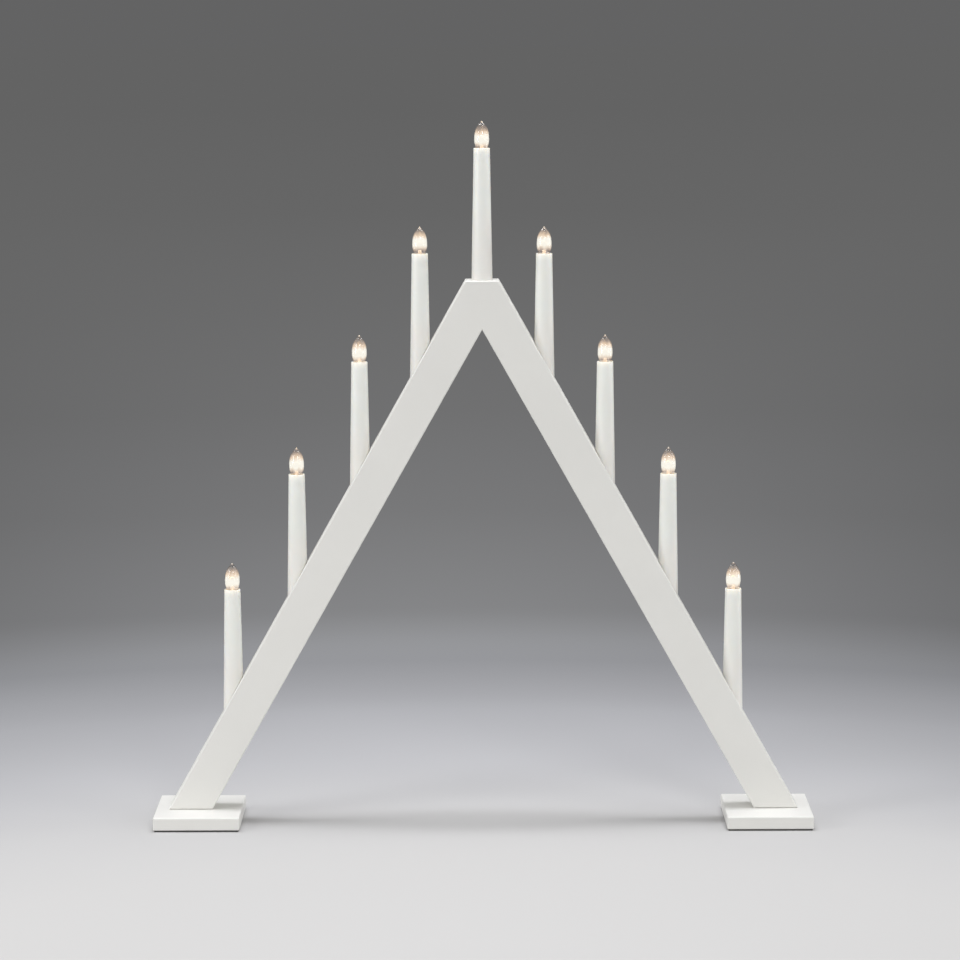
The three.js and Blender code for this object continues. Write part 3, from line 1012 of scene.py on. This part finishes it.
@dataclass
class Arch:
    """The two mitred beams, with their cover strips, dowel, gland and wires.

    The gland's sizes are in its own frame, with its flange on the back of the beam.
    """

    lean: float = math.radians(29.4)
    width: float = 38.2 * MM
    depth: float = 28 * MM
    end: float = 317 * MM
    foot_top: float = 14.5 * MM
    flat: float = 33 * MM
    edge_round: float = 1.2 * MM
    foot_round: float = 2.0 * MM
    round_steps: int = 4
    foot_steps: int = 6
    sharp_from: float = 26.0
    bore: float = 10.9 * MM
    bore_length: float = 200 * MM
    channel_width: float = 8 * MM
    channel_depth: float = 8 * MM
    channel_inner_wall: float = 3.5 * MM
    channel_end: float = 38.5 * MM
    cover_thickness: float = 2 * MM
    cover_ledge: float = 3 * MM
    cover_round: float = 0.35 * MM
    cover_steps: int = 3
    gap: float = 0.3 * MM
    cut_past: float = 2 * MM
    gland_height: float = 12 * MM
    gland_hole: float = 4.3 * MM
    gland_body: float = 4 * MM
    gland_flange: float = 5.5 * MM
    gland_lip: float = 1.2 * MM
    gland_round: float = 0.45 * MM
    gland_steps: int = 5
    gland_sides: int = 48
    slot_reach: float = 1.0 * MM
    slot_end: float = 1.7 * MM
    slot_steps: int = 16

    def __post_init__(self) -> None:
        """Works out the lines that the arch is built on."""
        self.run = math.tan(self.lean)
        self.peak = self.foot_top + self.end / self.run
        self.top = self.peak - self.flat / 2 / self.run
        self.cover_width = self.channel_width + 2 * self.cover_ledge
        self.cover_inset = self.width - self.channel_inner_wall - self.gap - self.cover_width / 2

    def line_height(self, x: float, inset: float) -> float:
        """Height of a line that runs down both beams, square inset from their outer edges."""
        return self.peak - inset / math.sin(self.lean) - abs(x) / self.run

    def line_reach(self, height: float, inset: float) -> float:
        """How far from the middle that line is at a height."""
        return (self.line_height(0, inset) - height) * self.run

    def lacquer(self, side: Side) -> Lacquer:
        """The lacquer of one beam, whose grain runs along it."""
        return Lacquer(f"lacquer_{side.word}_beam", -side.value * self.lean)

    def band(self, outer: float, inner: float, bottom: float) -> list[Point]:
        """The outline between two lines along the beams, cut level at its lower ends.

        Args:
            outer: inset of the outer line.
            inner: inset of the inner line.
            bottom: height of its lower ends.

        Returns:
            The outline.
        """
        reach_out, reach_in = self.line_reach(bottom, outer), self.line_reach(bottom, inner)
        return [
            (-reach_out, bottom), (0, self.line_height(0, outer)), (reach_out, bottom),
            (reach_in, bottom), (0, self.line_height(0, inner)), (-reach_in, bottom),
        ]

    def outline(self) -> list[Point]:
        """The whole arch from the front, with its peak cut flat.

        Returns:
            The outline.
        """
        inner = self.line_reach(self.foot_top, self.width)
        return [
            (-self.end, self.foot_top), (-self.flat / 2, self.top), (self.flat / 2, self.top),
            (self.end, self.foot_top), (inner, self.foot_top),
            (0, self.line_height(0, self.width)), (-inner, self.foot_top),
        ]

    def rounds(self, edge: Edge) -> bool:
        """Picks the edges of the arch that are rounded together.

        Args:
            edge: an edge of the sharp arch.

        Returns:
            True for the long arrises and the two corners of the flat top.
        """
        first, second = (vertex.co for vertex in edge.verts)
        across = abs(first.y - second.y) > self.depth / 2
        at_top = abs(first.z - self.top) < self.gap and abs(first.x) > self.gap
        at_foot = max(first.z, second.z) < self.foot_top + self.gap
        return at_top or not (across or at_foot)

    def foot_cut(self, side: int) -> Form:
        """A long bar with a hollow corner, which rounds the beams' lower ends.

        Args:
            side: -1 for the front and 1 for the back.

        Returns:
            The bar.
        """
        soft, past = self.foot_round, self.cut_past
        outer, low = side * (self.depth / 2 + past), self.foot_top
        turn = arc((self.depth / 2 - soft, low + soft), soft, -90, 0, self.foot_steps)
        hollow = [(side * y, z) for y, z in turn]
        outline = [*hollow, (outer, low + soft), (outer, low - past), (hollow[0][0], low - past)]
        bar = prism(outline, -2 * self.end, 2 * self.end)
        bmesh.ops.transform(bar, matrix=Matrix.Rotation(math.pi / 2, 4, "Z"), verts=bar.verts)
        return bar

    def half_space(self, side: Side) -> Form:
        """A box that holds everything on one side of the mitre.

        Args:
            side: the side that it holds.

        Returns:
            The box.
        """
        reach = 2 * self.peak
        low, high = sorted((0.0, side.value * reach))
        return block(Vector((low, -reach, -reach)), Vector((high, reach, reach)))

    def candle_bore(self, number: int) -> Form:
        """The tool that bores one candle's seat.

        Args:
            number: the candle's number.

        Returns:
            The tool.
        """
        low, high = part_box(f"candle_{number}_sleeve")
        floor = Vector(((low.x + high.x) / 2, 0, low.z - self.gap))
        return rod(self.bore, floor, floor + self.bore_length * UP)

    def build_beams(self) -> None:
        """Builds both beams: rounded, bored for the candles and grooved for the wires."""
        back = self.depth / 2
        past = back + self.cut_past
        inner = self.cover_inset + self.channel_width / 2
        channel = self.band(inner - self.channel_width, inner, self.channel_end)
        half = self.cover_width / 2 + self.gap
        seat_end = self.channel_end - self.cover_ledge
        seat = self.band(self.cover_inset - half, self.cover_inset + half, seat_end)
        board = rounded(prism(self.outline(), -back, back), self.edge_round, self.round_steps, self.rounds)
        arch = carve(to_mesh("arch", board), [
            self.foot_cut(-1),
            self.foot_cut(1),
            prism(channel, back - self.channel_depth, past),
            prism(seat, back - self.cover_thickness - self.gap, past),
            *[self.candle_bore(number) for number in CANDLES],
        ])
        for side in Side:
            mesh = smooth(carve(arch.copy(), [self.half_space(side)], Cut.KEPT), self.sharp_from)
            dress_board(f"beam_{side.word}", mesh, self.lacquer(side), f"{side.word}_beam")

    def gland_place(self) -> Vector:
        """Where the cord's inlet is, on the back of the right beam."""
        height = self.channel_end + self.gland_height
        return Vector((self.line_reach(height, self.cover_inset), self.depth / 2, height))

    def build_covers(self) -> None:
        """Builds the two strips that close the wiring channel."""
        half = self.cover_width / 2
        low = self.channel_end - self.cover_ledge + self.gap
        outer, inner = self.cover_inset - half, self.cover_inset + half
        for side in Side:
            mitre = side.value * self.gap / 2
            outline = [
                (side.value * self.line_reach(low, outer), low), (mitre, self.line_height(0, outer)),
                (mitre, self.line_height(0, inner)), (side.value * self.line_reach(low, inner), low),
            ]
            strip = prism(outline, self.depth / 2 - self.cover_thickness, self.depth / 2)
            mesh = to_mesh("cover", rounded(strip, self.cover_round, self.cover_steps))
            if side is Side.RIGHT:
                behind = self.gland_place()
                start = Vector((behind.x, 0, behind.z))
                mesh = carve(mesh, [rod(self.gland_hole, start, start + Vector((0, 2 * self.depth, 0)))])
            dress_board(f"cover_{side.word}", smooth(mesh), self.lacquer(side), f"{side.word}_channel_cover")

    def build_gland(self) -> None:
        """Builds the rubber gland with its rounded flange and cord slot."""
        lip, body, soft = self.gland_lip, self.gland_body, self.gland_round
        edge = arc((self.gland_flange - soft, lip - soft), soft, 90, 0, self.gland_steps)
        profile = [
            (0, lip), *edge, (self.gland_flange, 0), (body, 0),
            (body, -self.cover_thickness), (0, -self.cover_thickness),
        ]
        blank = to_mesh("gland", turned(profile, self.gland_sides))
        blank.transform(Matrix.Rotation(-math.pi / 2, 4, "X"))
        right = arc((self.slot_reach, 0), self.slot_end, -90, 90, self.slot_steps)
        left = arc((-self.slot_reach, 0), self.slot_end, 90, 270, self.slot_steps)
        slot = prism([*right, *left], -self.depth, self.depth)
        gland = new_object("inlet_gland", smooth(carve(blank, [slot])), self.gland_place())
        dress(gland, [RUBBER], STAND, "cord_gland")

    def build(self) -> None:
        """Builds the whole arch, and finishes the dowel and the wires, which keep their shapes."""
        self.build_beams()
        self.build_covers()
        self.build_gland()
        finish_node("mitre_biscuit", BareWood())
        finish_node("wiring_loom", INSULATION)


@dataclass
class Foot:
    """One foot plate on its felt pad, with the screws up into the beam."""

    side: Side
    edge_round: float = 1.4 * MM
    round_steps: int = 5
    felt_round: float = 0.4 * MM
    felt_round_steps: int = 2
    felt_cuts: int = 24
    felt_trim: float = 0.2 * MM
    felt_wander: float = 0.12 * MM
    felt_waves: Span = (900.0, 1100.0)
    felt_shift: float = 1.0
    long: float = 10 * MM

    def build_plate(self) -> None:
        """Builds the lacquered plate with soft arrises."""
        board = rounded(block(*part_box(f"{self.side.word}_foot")), self.edge_round, self.round_steps)
        mesh = smooth(to_mesh("plate", board))
        lacquer = Lacquer("lacquer_feet", math.pi / 2)
        dress_board(f"foot_{self.side.word}", mesh, lacquer, f"{self.side.word}_foot")

    def build_pad(self) -> None:
        """Builds the felt pad, whose cut edge wanders a little."""
        low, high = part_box(f"{self.side.word}_foot_pad")
        bm = rounded(block(low, high), self.felt_round, self.felt_round_steps)
        edges = [edge for edge in bm.edges if edge.calc_length() > self.long]
        bmesh.ops.subdivide_edges(bm, edges=edges, cuts=self.felt_cuts, use_grid_fill=True)
        middle = (low + high) / 2
        for vertex in bm.verts:
            x, y = vertex.co.x - middle.x, vertex.co.y - middle.y
            waves = math.sin(x * self.felt_waves[0]) + math.sin(y * self.felt_waves[1] + self.felt_shift)
            trim = self.felt_trim + abs(self.felt_wander * waves)
            inward = 1 - trim / max(abs(x), abs(y), self.long)
            vertex.co.x = middle.x + x * inward
            vertex.co.y = middle.y + y * inward
        pad = new_object(f"felt_{self.side.word}", smooth(to_mesh("pad", bm)))
        dress(pad, [Felt()], STAND, f"{self.side.word}_foot_pad")

    def build(self) -> None:
        """Builds and dresses the foot, and finishes its two screws, which keep their shapes."""
        self.build_plate()
        self.build_pad()
        for number in (1, 2):
            finish_node(f"{self.side.word}_foot_screw_{number}", ZINC)


def rim_of(number: int) -> Vector:
    """The middle of a sleeve's rim, from the frame.

    Args:
        number: the candle's number.

    Returns:
        The place.
    """
    low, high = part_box(f"candle_{number}_sleeve")
    return Vector(((low.x + high.x) / 2, (low.y + high.y) / 2, high.z))


@dataclass
class Thread:
    """The rolled thread of the bulb's cap and of its socket, rounded at crest and root.

    Heights are from the rim of the candle's sleeve.
    """

    pitch: float = 1.814 * MM
    swing: float = 0.175 * MM
    top: float = -5.2 * MM
    bottom: float = -12.8 * MM
    fade: float = 0.9 * MM
    sides: int = 40
    rows_per_turn: int = 9

    def swell(self, height: float, angle: float) -> float:
        """How far the thread stands out at a place.

        Args:
            height: the place's height.
            angle: its angle about the axis.

        Returns:
            -1 at the thread's root and 1 at its crest, and less towards the thread's ends.
        """
        ends = min(self.top - height, height - self.bottom) / self.fade
        share = min(max(ends, 0.0), 1.0)
        return share * math.cos(2 * math.pi * height / self.pitch - angle)

    def wall(self, bm: Form, middle: float) -> list[list[Corner]]:
        """Adds the corners of a threaded wall.

        Args:
            bm: the form that it goes into.
            middle: radius half way between crest and root.

        Returns:
            Its rings of corners, from the top down.
        """
        count = int((self.top - self.bottom) / self.pitch * self.rows_per_turn)
        rings = []
        for row in range(count + 1):
            height = self.top + (self.bottom - self.top) * row / count
            radii = [(middle + self.swing * self.swell(height, a), a) for a in round_angles(self.sides)]
            rings.append([bm.verts.new((r * math.cos(a), r * math.sin(a), height)) for r, a in radii])
        return rings

    def tube(self, middle: float, over: list[Point], under: list[Point]) -> Form:
        """A tube with this thread in its wall.

        Args:
            middle: radius half way between crest and root.
            over: radius and height of its rings above the thread, from the top down.
            under: radius and height of its rings under the thread, and back up its other face.

        Returns:
            The closed tube.
        """
        bm = bmesh.new()
        wall = self.wall(bm, middle)
        above, below = ([circle(bm, *place, self.sides) for place in rings] for rings in (over, under))
        skin(bm, [*above, *wall, *below], closed=True)
        return bm


@dataclass
class Candle:
    """The sleeve and lampholder that all nine candles share.

    Heights are from the sleeve's rim, and profiles are radius and height in millimetres.
    """

    thread: Thread = field(default_factory=Thread)
    length: float = 142 * MM
    top_radius: float = 8.05 * MM
    bottom_radius: float = 10.6 * MM
    wall: float = 1.25 * MM
    bore: float = 6.8 * MM
    rim_round: float = 0.5 * MM
    rim_steps: int = 6
    mouth_steps: int = 4
    rows: int = 24
    sides: int = 64
    ledge_top: float = -20.6 * MM
    ledge_thickness: float = 2 * MM
    ledge_bore: float = 4.8 * MM
    holder_mouth: tuple[Point, ...] = ((0, -18.3), (5.27, -18.3), (5.27, -3.175), (5.45, -3.0))
    holder_edge: Point = (6.15, -3.35)
    holder_round: float = 0.35  # in millimetres, like the profiles
    holder_steps: int = 4
    holder_tail: tuple[Point, ...] = (
        (6.5, -20.3), (4.5, -20.3), (4.5, -25.95), (4.15, -26.3), (0, -26.3),
    )
    holder_sides: int = 48
    liner_middle: float = 4.85 * MM
    liner_head: tuple[Point, ...] = ((5.05, -3.4),)
    liner_foot: tuple[Point, ...] = ((5.0, -17.6), (5.25, -17.6), (5.25, -3.4))
    tongue: tuple[Point, ...] = ((-3.2, -18.28), (-1.6, -18.28), (0.0, -18.22), (1.6, -18.28), (3.2, -18.28))
    tongue_radius: float = 0.1 * MM
    tongue_sides: int = 8
    holder_sharp: float = 50.0

    def __post_init__(self) -> None:
        """Makes the two meshes once."""
        self.sleeve_mesh = self.sleeve()
        self.holder_mesh = self.holder()

    def sleeve(self) -> Mesh:
        """The tapered sleeve with its rounded rim and the ledge that carries the lampholder.

        Returns:
            The mesh.
        """
        top, soft, bottom = self.top_radius, self.rim_round, self.bottom_radius
        low = self.ledge_top - self.ledge_thickness
        taper = (bottom - top) / self.length
        heights = [float(z) for z in np.linspace(-soft, -self.length, self.rows)]
        profile = [
            *arc((top - soft, -soft), soft, 90, 0, self.rim_steps)[:-1],
            *[(top - taper * z, z) for z in heights],
            (bottom - self.wall, -self.length),
            (top - taper * low - self.wall, low),
            (self.ledge_bore, low),
            (self.ledge_bore, self.ledge_top),
            (self.bore, self.ledge_top),
            *arc((self.bore + soft / 2, -soft / 2), soft / 2, 180, 90, self.mouth_steps),
            (top - soft, 0.0),
        ]
        return smooth(to_mesh("sleeve", turned(profile, self.sides)))

    def holder(self) -> Mesh:
        """The moulded body with its threaded brass liner and the spring contact in its floor.

        Returns:
            The mesh, with the body, the liner and the contact in that order of slots.
        """
        edge = arc(self.holder_edge, self.holder_round, 90, 0, self.holder_steps)
        profile = in_mm(*self.holder_mouth, *edge, *self.holder_tail)
        body = to_mesh("body", turned(profile, self.holder_sides))
        head, foot = in_mm(*self.liner_head), in_mm(*self.liner_foot)
        liner = to_mesh("liner", self.thread.tube(self.liner_middle, head, foot))
        path = [Vector((x, 0, z)) for x, z in in_mm(*self.tongue)]
        tongue = to_mesh("tongue", swept(path, self.tongue_radius, self.tongue_sides))
        return smooth(joined([body, liner, tongue]), self.holder_sharp)

    def place(self, number: int) -> None:
        """Places and dresses one candle's sleeve and lampholder.

        Args:
            number: the candle's number.
        """
        at = rim_of(number)
        sleeve = new_object(f"sleeve_{number}", self.sleeve_mesh, at)
        dress(sleeve, [SleevePlastic()], STAND, f"candle_{number}_sleeve")
        holder = new_object(f"lampholder_{number}", self.holder_mesh, at)
        dress(holder, [HOLDER_PLASTIC, BRASS, BRASS], STAND, f"candle_{number}_lampholder")


@dataclass
class Bulb:
    """The screw-in bulb that all nine candles share: glass, cap and filament.

    Heights are from the sleeve's rim, and profiles are radius and height in millimetres.
    """

    thread: Thread = field(default_factory=Thread)
    curve_steps: int = 3
    glass_tip: Point = (0.0, 26.6)
    glass_form: tuple[Point, ...] = (
        (0.55, 26.35), (1.05, 25.6), (2.0, 24.4), (3.3, 22.9), (4.75, 20.9), (5.95, 18.4),
        (6.75, 15.6), (7.2, 12.6), (7.4, 9.2), (7.3, 6.6), (6.95, 4.4), (6.4, 2.2),
        (6.05, 0.3), (5.7, -1.1), (4.9, -2.7), (4.1, -4.2),
    )
    glass_neck: Point = (4.1, -7.0)
    glass_wall: float = 0.5  # in millimetres, like the profiles
    solid_tip: int = 3  # how many stations of the form the drawn tip is solid for
    hollow_top: tuple[Point, ...] = ((0.0, 23.4), (1.3, 23.0))
    glass_sides: int = 48
    glass_sharp: float = 60.0
    shell_middle: float = 4.575 * MM
    shell_head: tuple[Point, ...] = ((4.2, -4.5), (4.72, -4.5), (4.72, -4.85))
    shell_foot: tuple[Point, ...] = ((4.3, -13.15), (4.0, -13.5), (3.8, -13.2))
    cone_head: tuple[Point, ...] = ((0, -13.2), (3.7, -13.2), (3.75, -13.7))
    cone_slope: tuple[Point, ...] = ((3.2, -14.7), (2.2, -15.7), (1.8, -16.1))
    cone_end: Point = (0, -16.1)
    cone_sides: int = 40
    contact: tuple[Point, ...] = ((0.0, -18.0), (0.8, -17.9), (1.5, -17.4), (1.8, -16.6), (1.75, -16.0))
    contact_top: Point = (0, -16.0)
    contact_sides: int = 32
    cap_sharp: float = 50.0
    stem_top: Point = (0, 3.4)
    stem: tuple[Point, ...] = ((0.9, 3.5), (1.7, 3.1), (1.75, 1.0), (1.5, -2.0), (1.9, -4.6), (3.1, -7.0))
    stem_end: Point = (0, -7.0)
    stem_steps: int = 4
    stem_sides: int = 32
    lead: tuple[Point, ...] = ((1.1, 1.8), (1.1, 3.4), (1.4, 4.8), (2.0, 7.0), (2.35, 8.6), (2.5, 9.1))
    lead_radius: float = 0.17 * MM
    lead_sides: int = 8
    coil_turns: int = 46
    coil_points: int = 10
    coil_radius: float = 0.34 * MM
    coil_height: float = 9.0 * MM
    coil_half: float = 2.5 * MM
    coil_rise: float = 3.3 * MM
    coil_wire: float = 0.085 * MM
    coil_sides: int = 5

    def __post_init__(self) -> None:
        """Makes the three meshes once."""
        self.glass_mesh = self.glass()
        self.cap_mesh = self.cap()
        self.filament_mesh = self.filament()

    def glass(self) -> Mesh:
        """The pointed envelope: a drawn tip, a full belly and a neck that goes into the cap.

        Returns:
            The mesh, with the outside in its first slot and the inside in its second.
        """
        neck, low = self.glass_neck
        inner = [(radius - self.glass_wall, z) for radius, z in self.glass_form[self.solid_tip:]]
        outside = [self.glass_tip, *flow(self.glass_form, self.curve_steps), self.glass_neck]
        inside = [*self.hollow_top, *flow(inner, self.curve_steps), (neck - self.glass_wall, low)]
        bm = turned(in_mm(*outside, *reversed(inside)), self.glass_sides)
        bm.faces.ensure_lookup_table()
        for face in bm.faces[len(outside) * self.glass_sides:]:
            face.material_index = 1
        return smooth(to_mesh("glass", bm), self.glass_sharp)

    def cap(self) -> Mesh:
        """The threaded cap: a rolled shell, a dark insulating cone and a soldered contact.

        Returns:
            The mesh, with the shell, the cone and the contact in that order of slots.
        """
        shell = self.thread.tube(self.shell_middle, in_mm(*self.shell_head), in_mm(*self.shell_foot))
        slope = flow(self.cone_slope, self.curve_steps)
        cone = turned(in_mm(*self.cone_head, *slope, self.cone_end), self.cone_sides)
        dome = flow(self.contact, self.curve_steps)
        contact = turned(in_mm(*dome, self.contact_top), self.contact_sides)
        forms = {"shell": shell, "cone": cone, "contact": contact}
        return smooth(joined([to_mesh(name, form) for name, form in forms.items()]), self.cap_sharp)

    def leads(self) -> Mesh:
        """The two lead wires that carry the coil.

        Returns:
            The mesh.
        """
        leads = bmesh.new()
        for sign in (-1, 1):
            path = [Vector((sign * x, 0, z)) for x, z in in_mm(*self.lead)]
            wire = to_mesh("wire", swept(path, self.lead_radius, self.lead_sides))
            leads.from_mesh(wire)
            bpy.data.meshes.remove(wire)
        return to_mesh("leads", leads)

    def coil(self) -> Mesh:
        """The coiled wire, arched from one lead to the other.

        Returns:
            The mesh.
        """
        count = self.coil_turns * self.coil_points
        path = []
        for i in range(count + 1):
            along = math.pi * (1 - i / count)
            out = Vector((math.cos(along), 0, math.sin(along)))
            middle = Vector((self.coil_half * out.x, 0, self.coil_height + self.coil_rise * out.z))
            turn = 2 * math.pi * i / self.coil_points
            spoke = math.cos(turn) * out + math.sin(turn) * Vector((0, 1, 0))
            path.append(middle + self.coil_radius * spoke)
        return to_mesh("coil", swept(path, self.coil_wire, self.coil_sides))

    def filament(self) -> Mesh:
        """The stem with its pinched top, two lead wires, and the coil arched between them.

        Returns:
            The mesh, with the stem, the leads and the coil in that order of slots.
        """
        profile = in_mm(self.stem_top, *flow(self.stem, self.stem_steps), self.stem_end)
        stem = to_mesh("stem", turned(profile, self.stem_sides))
        return smooth(joined([stem, self.leads(), self.coil()]), self.glass_sharp)

    def place(self, number: int) -> None:
        """Places and dresses one bulb's three pieces.

        Args:
            number: the number of the bulb and of its candle.
        """
        at = rim_of(number)
        bulb = f"bulb_{number}"
        glass = new_object(f"bulb_glass_{number}", self.glass_mesh, at)
        dress(glass, [ClearGlass(), LitGlass()], f"{bulb}_envelope", f"{bulb}_glass")
        cap = new_object(f"bulb_cap_{number}", self.cap_mesh, at)
        dress(cap, [BRASS, CONE_GLASS, SOLDER], f"{bulb}_core", f"{bulb}_cap")
        filament = new_object(f"bulb_filament_{number}", self.filament_mesh, at)
        finishes = [StemGlass(), LEAD_WIRE, GlowingWire()]
        dress(filament, finishes, f"{bulb}_core", f"{bulb}_filament")


# The studio


@dataclass(frozen=True)
class Lamp:
    """One soft rectangular panel of light."""

    name: str
    at: Triple
    aim: Triple
    size: Span
    power: float
    colour: Colour = WHITE

    def build(self) -> None:
        """Places the panel and turns it to the point that it is aimed at."""
        data = bpy.data.lights.new(self.name, "AREA")
        data.shape = "RECTANGLE"
        data.size, data.size_y = self.size
        data.energy = self.power
        data.color = self.colour
        panel = bpy.data.objects.new(self.name, data)
        panel.location = self.at
        panel.rotation_mode = "QUATERNION"
        panel.rotation_quaternion = (Vector(self.aim) - Vector(self.at)).to_track_quat("-Z", "Y")
        bpy.context.scene.collection.objects.link(panel)


@dataclass
class Studio:
    """Floor, background, lamps and camera.

    Each of the floor's tones is a distance from the pool of light, the tone there, how much it
    falls towards the sides, and how blue it is: a pool of light painted on the floor. Up to
    view_near from the object the camera sees the floor lit, with these painted tones in its
    colour, and from view_far on it sees the painted tones as the floor's own.
    """

    camera_at: Vector = field(default_factory=lambda: Vector((-0.0018243, -3.4315578, 0.8425829)))
    yaw: float = 0.0002
    pitch: float = 0.1433
    roll: float = -0.0026
    lens: float = 130.26
    sensor: float = 36.0
    floor_radius: float = 40.0
    floor_sides: int = 96
    pool: Vector = field(default_factory=lambda: Vector((0.0, -0.75, 0.0)))
    pool_shift: float = 0.07
    floor_reach: float = 20.0
    floor_gain: Colour = (0.729, 0.719, 0.704)
    floor_tint: Colour = (0.985, 1.0, 1.06)
    floor_tones: tuple[tuple[float, float, float, float], ...] = (
        (0.30, 0.76, 0.0, 0.1), (0.60, 0.735, 0.0, 0.1), (0.80, 0.695, 0.0, 0.3), (1.02, 0.64, 0.3, 0.8),
        (1.28, 0.565, 0.9, 1.0), (1.42, 0.475, 1.4, 1.0), (1.58, 0.35, 2.1, 1.0), (1.93, 0.237, 3.2, 0.5),
        (2.83, 0.189, 3.5, 0.3), (3.4, 0.177, 3.4, 0.3), (4.1, 0.163, 3.4, 0.2), (6.2, 0.149, 2.6, 0.1),
        (10.0, 0.133, 0.5, 0.0), (20.0, 0.125, 0.0, 0.0),
    )
    most_fall: float = 4.0  # a colour ramp holds falls as shares of this
    view_near: float = 0.6
    view_far: float = 1.0
    backdrop: Colour = (0.125, 0.125, 0.126)
    ambient: float = 0.38
    lamps: tuple[Lamp, ...] = (
        Lamp("overhead", (0.0, 0.02, 2.1), (0.0, 0.02, 0.2), (1.6, 0.35), 28.6, (0.975, 0.985, 1.03)),
        Lamp("left_panel", (-1.6, -0.9, 0.85), (0.0, 0.0, 0.3), (0.6, 1.2), 13.0),
        Lamp("right_panel", (1.6, -0.9, 0.85), (0.0, 0.0, 0.3), (0.6, 1.2), 5.2),
        Lamp("left_strip", (-1.6, 0.15, 0.6), (0.0, 0.0, 0.4), (0.3, 1.2), 2.3),
        Lamp("right_strip", (1.6, 0.15, 0.6), (0.0, 0.0, 0.4), (0.3, 1.2), 4.3),
        Lamp("front_fill", (0.0, -4.4, 1.7), (0.0, 0.0, 0.3), (3.0, 1.8), 15.0),
        Lamp("upper_fill", (0.7, -2.2, 1.55), (0.0, 0.0, 0.62), (0.8, 0.5), 12.5),
    )

    def shown(self, graph: Graph) -> Socket:
        """Tells what is seen from what only casts light.

        Args:
            graph: the nodes.

        Returns:
            1 for what the camera, a reflection or clear glass shows, and 0 for light that is cast.
        """
        path = graph.add("LightPath").outputs
        seen = graph.reckon("MAXIMUM", path["Is Camera Ray"], path["Is Glossy Ray"])
        return graph.reckon("MAXIMUM", seen, path["Is Transmission Ray"])

    def floor_tone(self, graph: Graph, place: Socket) -> Socket:
        """The floor's painted pool of light: a tone that falls away from the pool and towards the sides.

        Args:
            graph: the floor's nodes.
            place: the place on the floor.

        Returns:
            The colour's socket.
        """
        away = graph.wire("VectorMath", {0: place, 1: self.pool}, "Value", operation="DISTANCE")
        root = graph.reckon("POWER", graph.reckon("DIVIDE", away, self.floor_reach), 0.5)
        stops = [
            (math.sqrt(distance / self.floor_reach), (tone, fall / self.most_fall, blue))
            for distance, tone, fall, blue in self.floor_tones
        ]
        parts = graph.add("SeparateColor", {0: graph.ramp(root, stops)}).outputs
        sideways = graph.reckon("ADD", graph.wire("SeparateXYZ", {0: place}, "X"), self.pool_shift)
        slant = graph.reckon("DIVIDE", sideways, away)
        fall = graph.reckon("MULTIPLY", parts[1], self.most_fall)
        below = graph.reckon("MULTIPLY_ADD", graph.reckon("MULTIPLY", slant, slant), fall, 1.0)
        tone = graph.reckon("MAXIMUM", graph.reckon("DIVIDE", parts[0], below), self.backdrop[0])
        tint = graph.blend(parts[2], WHITE, self.floor_tint)
        return graph.wire("VectorMath", {0: tint, 3: tone}, operation="SCALE")

    def build_floor(self) -> None:
        """Builds a wide pale floor with a pool of light painted on it, darkening evenly away from the pool.
        """
        bm = bmesh.new()
        bmesh.ops.create_circle(bm, cap_ends=True, segments=self.floor_sides, radius=self.floor_radius)
        floor = new_object("floor", to_mesh("floor", bm))
        material = bpy.data.materials.new("studio_floor")
        graph = Graph(material)
        place = graph.wire("TexCoord", out="Object")
        tone = self.floor_tone(graph, place)
        # Painted light: the painted pool sets the lit floor's colour, and further out it is seen as
        # emission.
        paint = graph.wire("VectorMath", {0: tone, 1: self.floor_gain}, operation="MULTIPLY")
        lit = graph.wire("BsdfDiffuse", {"Color": paint})
        own = graph.wire("Emission", {"Color": tone, "Strength": 1.0})
        out = graph.wire("VectorMath", {0: place}, "Value", operation="LENGTH")
        span = (self.view_near, self.view_far)
        far = graph.spread(out, WHOLE, span, interpolation_type="SMOOTHSTEP")
        graph.surface(graph.mixed(self.shown(graph), lit, graph.mixed(far, lit, own)))
        floor.data.materials.append(material)

    def build_world(self) -> None:
        """Makes a grey background where it is seen, and an even soft light where it isn't."""
        world = bpy.data.worlds.new("studio")
        bpy.context.scene.world = world
        graph = Graph(world)
        soft = graph.wire("Background", {"Color": (*WHITE, 1.0), "Strength": self.ambient})
        seen = graph.wire("Background", {"Color": (*self.backdrop, 1.0), "Strength": 1.0})
        graph.surface(graph.mixed(self.shown(graph), soft, seen))

    def build_camera(self) -> None:
        """Sets the camera at the photograph's place and angle."""
        ahead = Vector((-math.sin(self.yaw), math.cos(self.yaw), 0))
        right = Vector((math.cos(self.yaw), math.sin(self.yaw), 0))
        view = ahead * math.cos(self.pitch) - UP * math.sin(self.pitch)
        above = UP * math.cos(self.pitch) + ahead * math.sin(self.pitch)
        across = right * math.cos(self.roll) + above * math.sin(self.roll)
        upright = above * math.cos(self.roll) - right * math.sin(self.roll)
        data = bpy.data.cameras.new("camera")
        data.lens = self.lens
        data.sensor_width = self.sensor
        camera = bpy.data.objects.new("camera", data)
        turn = Matrix((across, upright, -view)).transposed()
        camera.matrix_world = Matrix.Translation(self.camera_at) @ turn.to_4x4()
        bpy.context.scene.collection.objects.link(camera)
        bpy.context.scene.camera = camera

    def build(self) -> None:
        """Builds the studio and sets the plain view transform."""
        self.build_camera()
        self.build_floor()
        self.build_world()
        for lamp in self.lamps:
            lamp.build()
        bpy.context.scene.view_settings.view_transform = "Standard"


def main() -> None:
    """Builds the studio and the candlestick."""
    logging.basicConfig(level=logging.INFO, format="%(message)s")
    Studio().build()
    Arch().build()
    for side in Side:
        Foot(side).build()
    candle, bulb = Candle(), Bulb()
    for number in CANDLES:
        candle.place(number)
        bulb.place(number)
    bpy.context.view_layer.update()


if __name__ == "__main__":
    main()
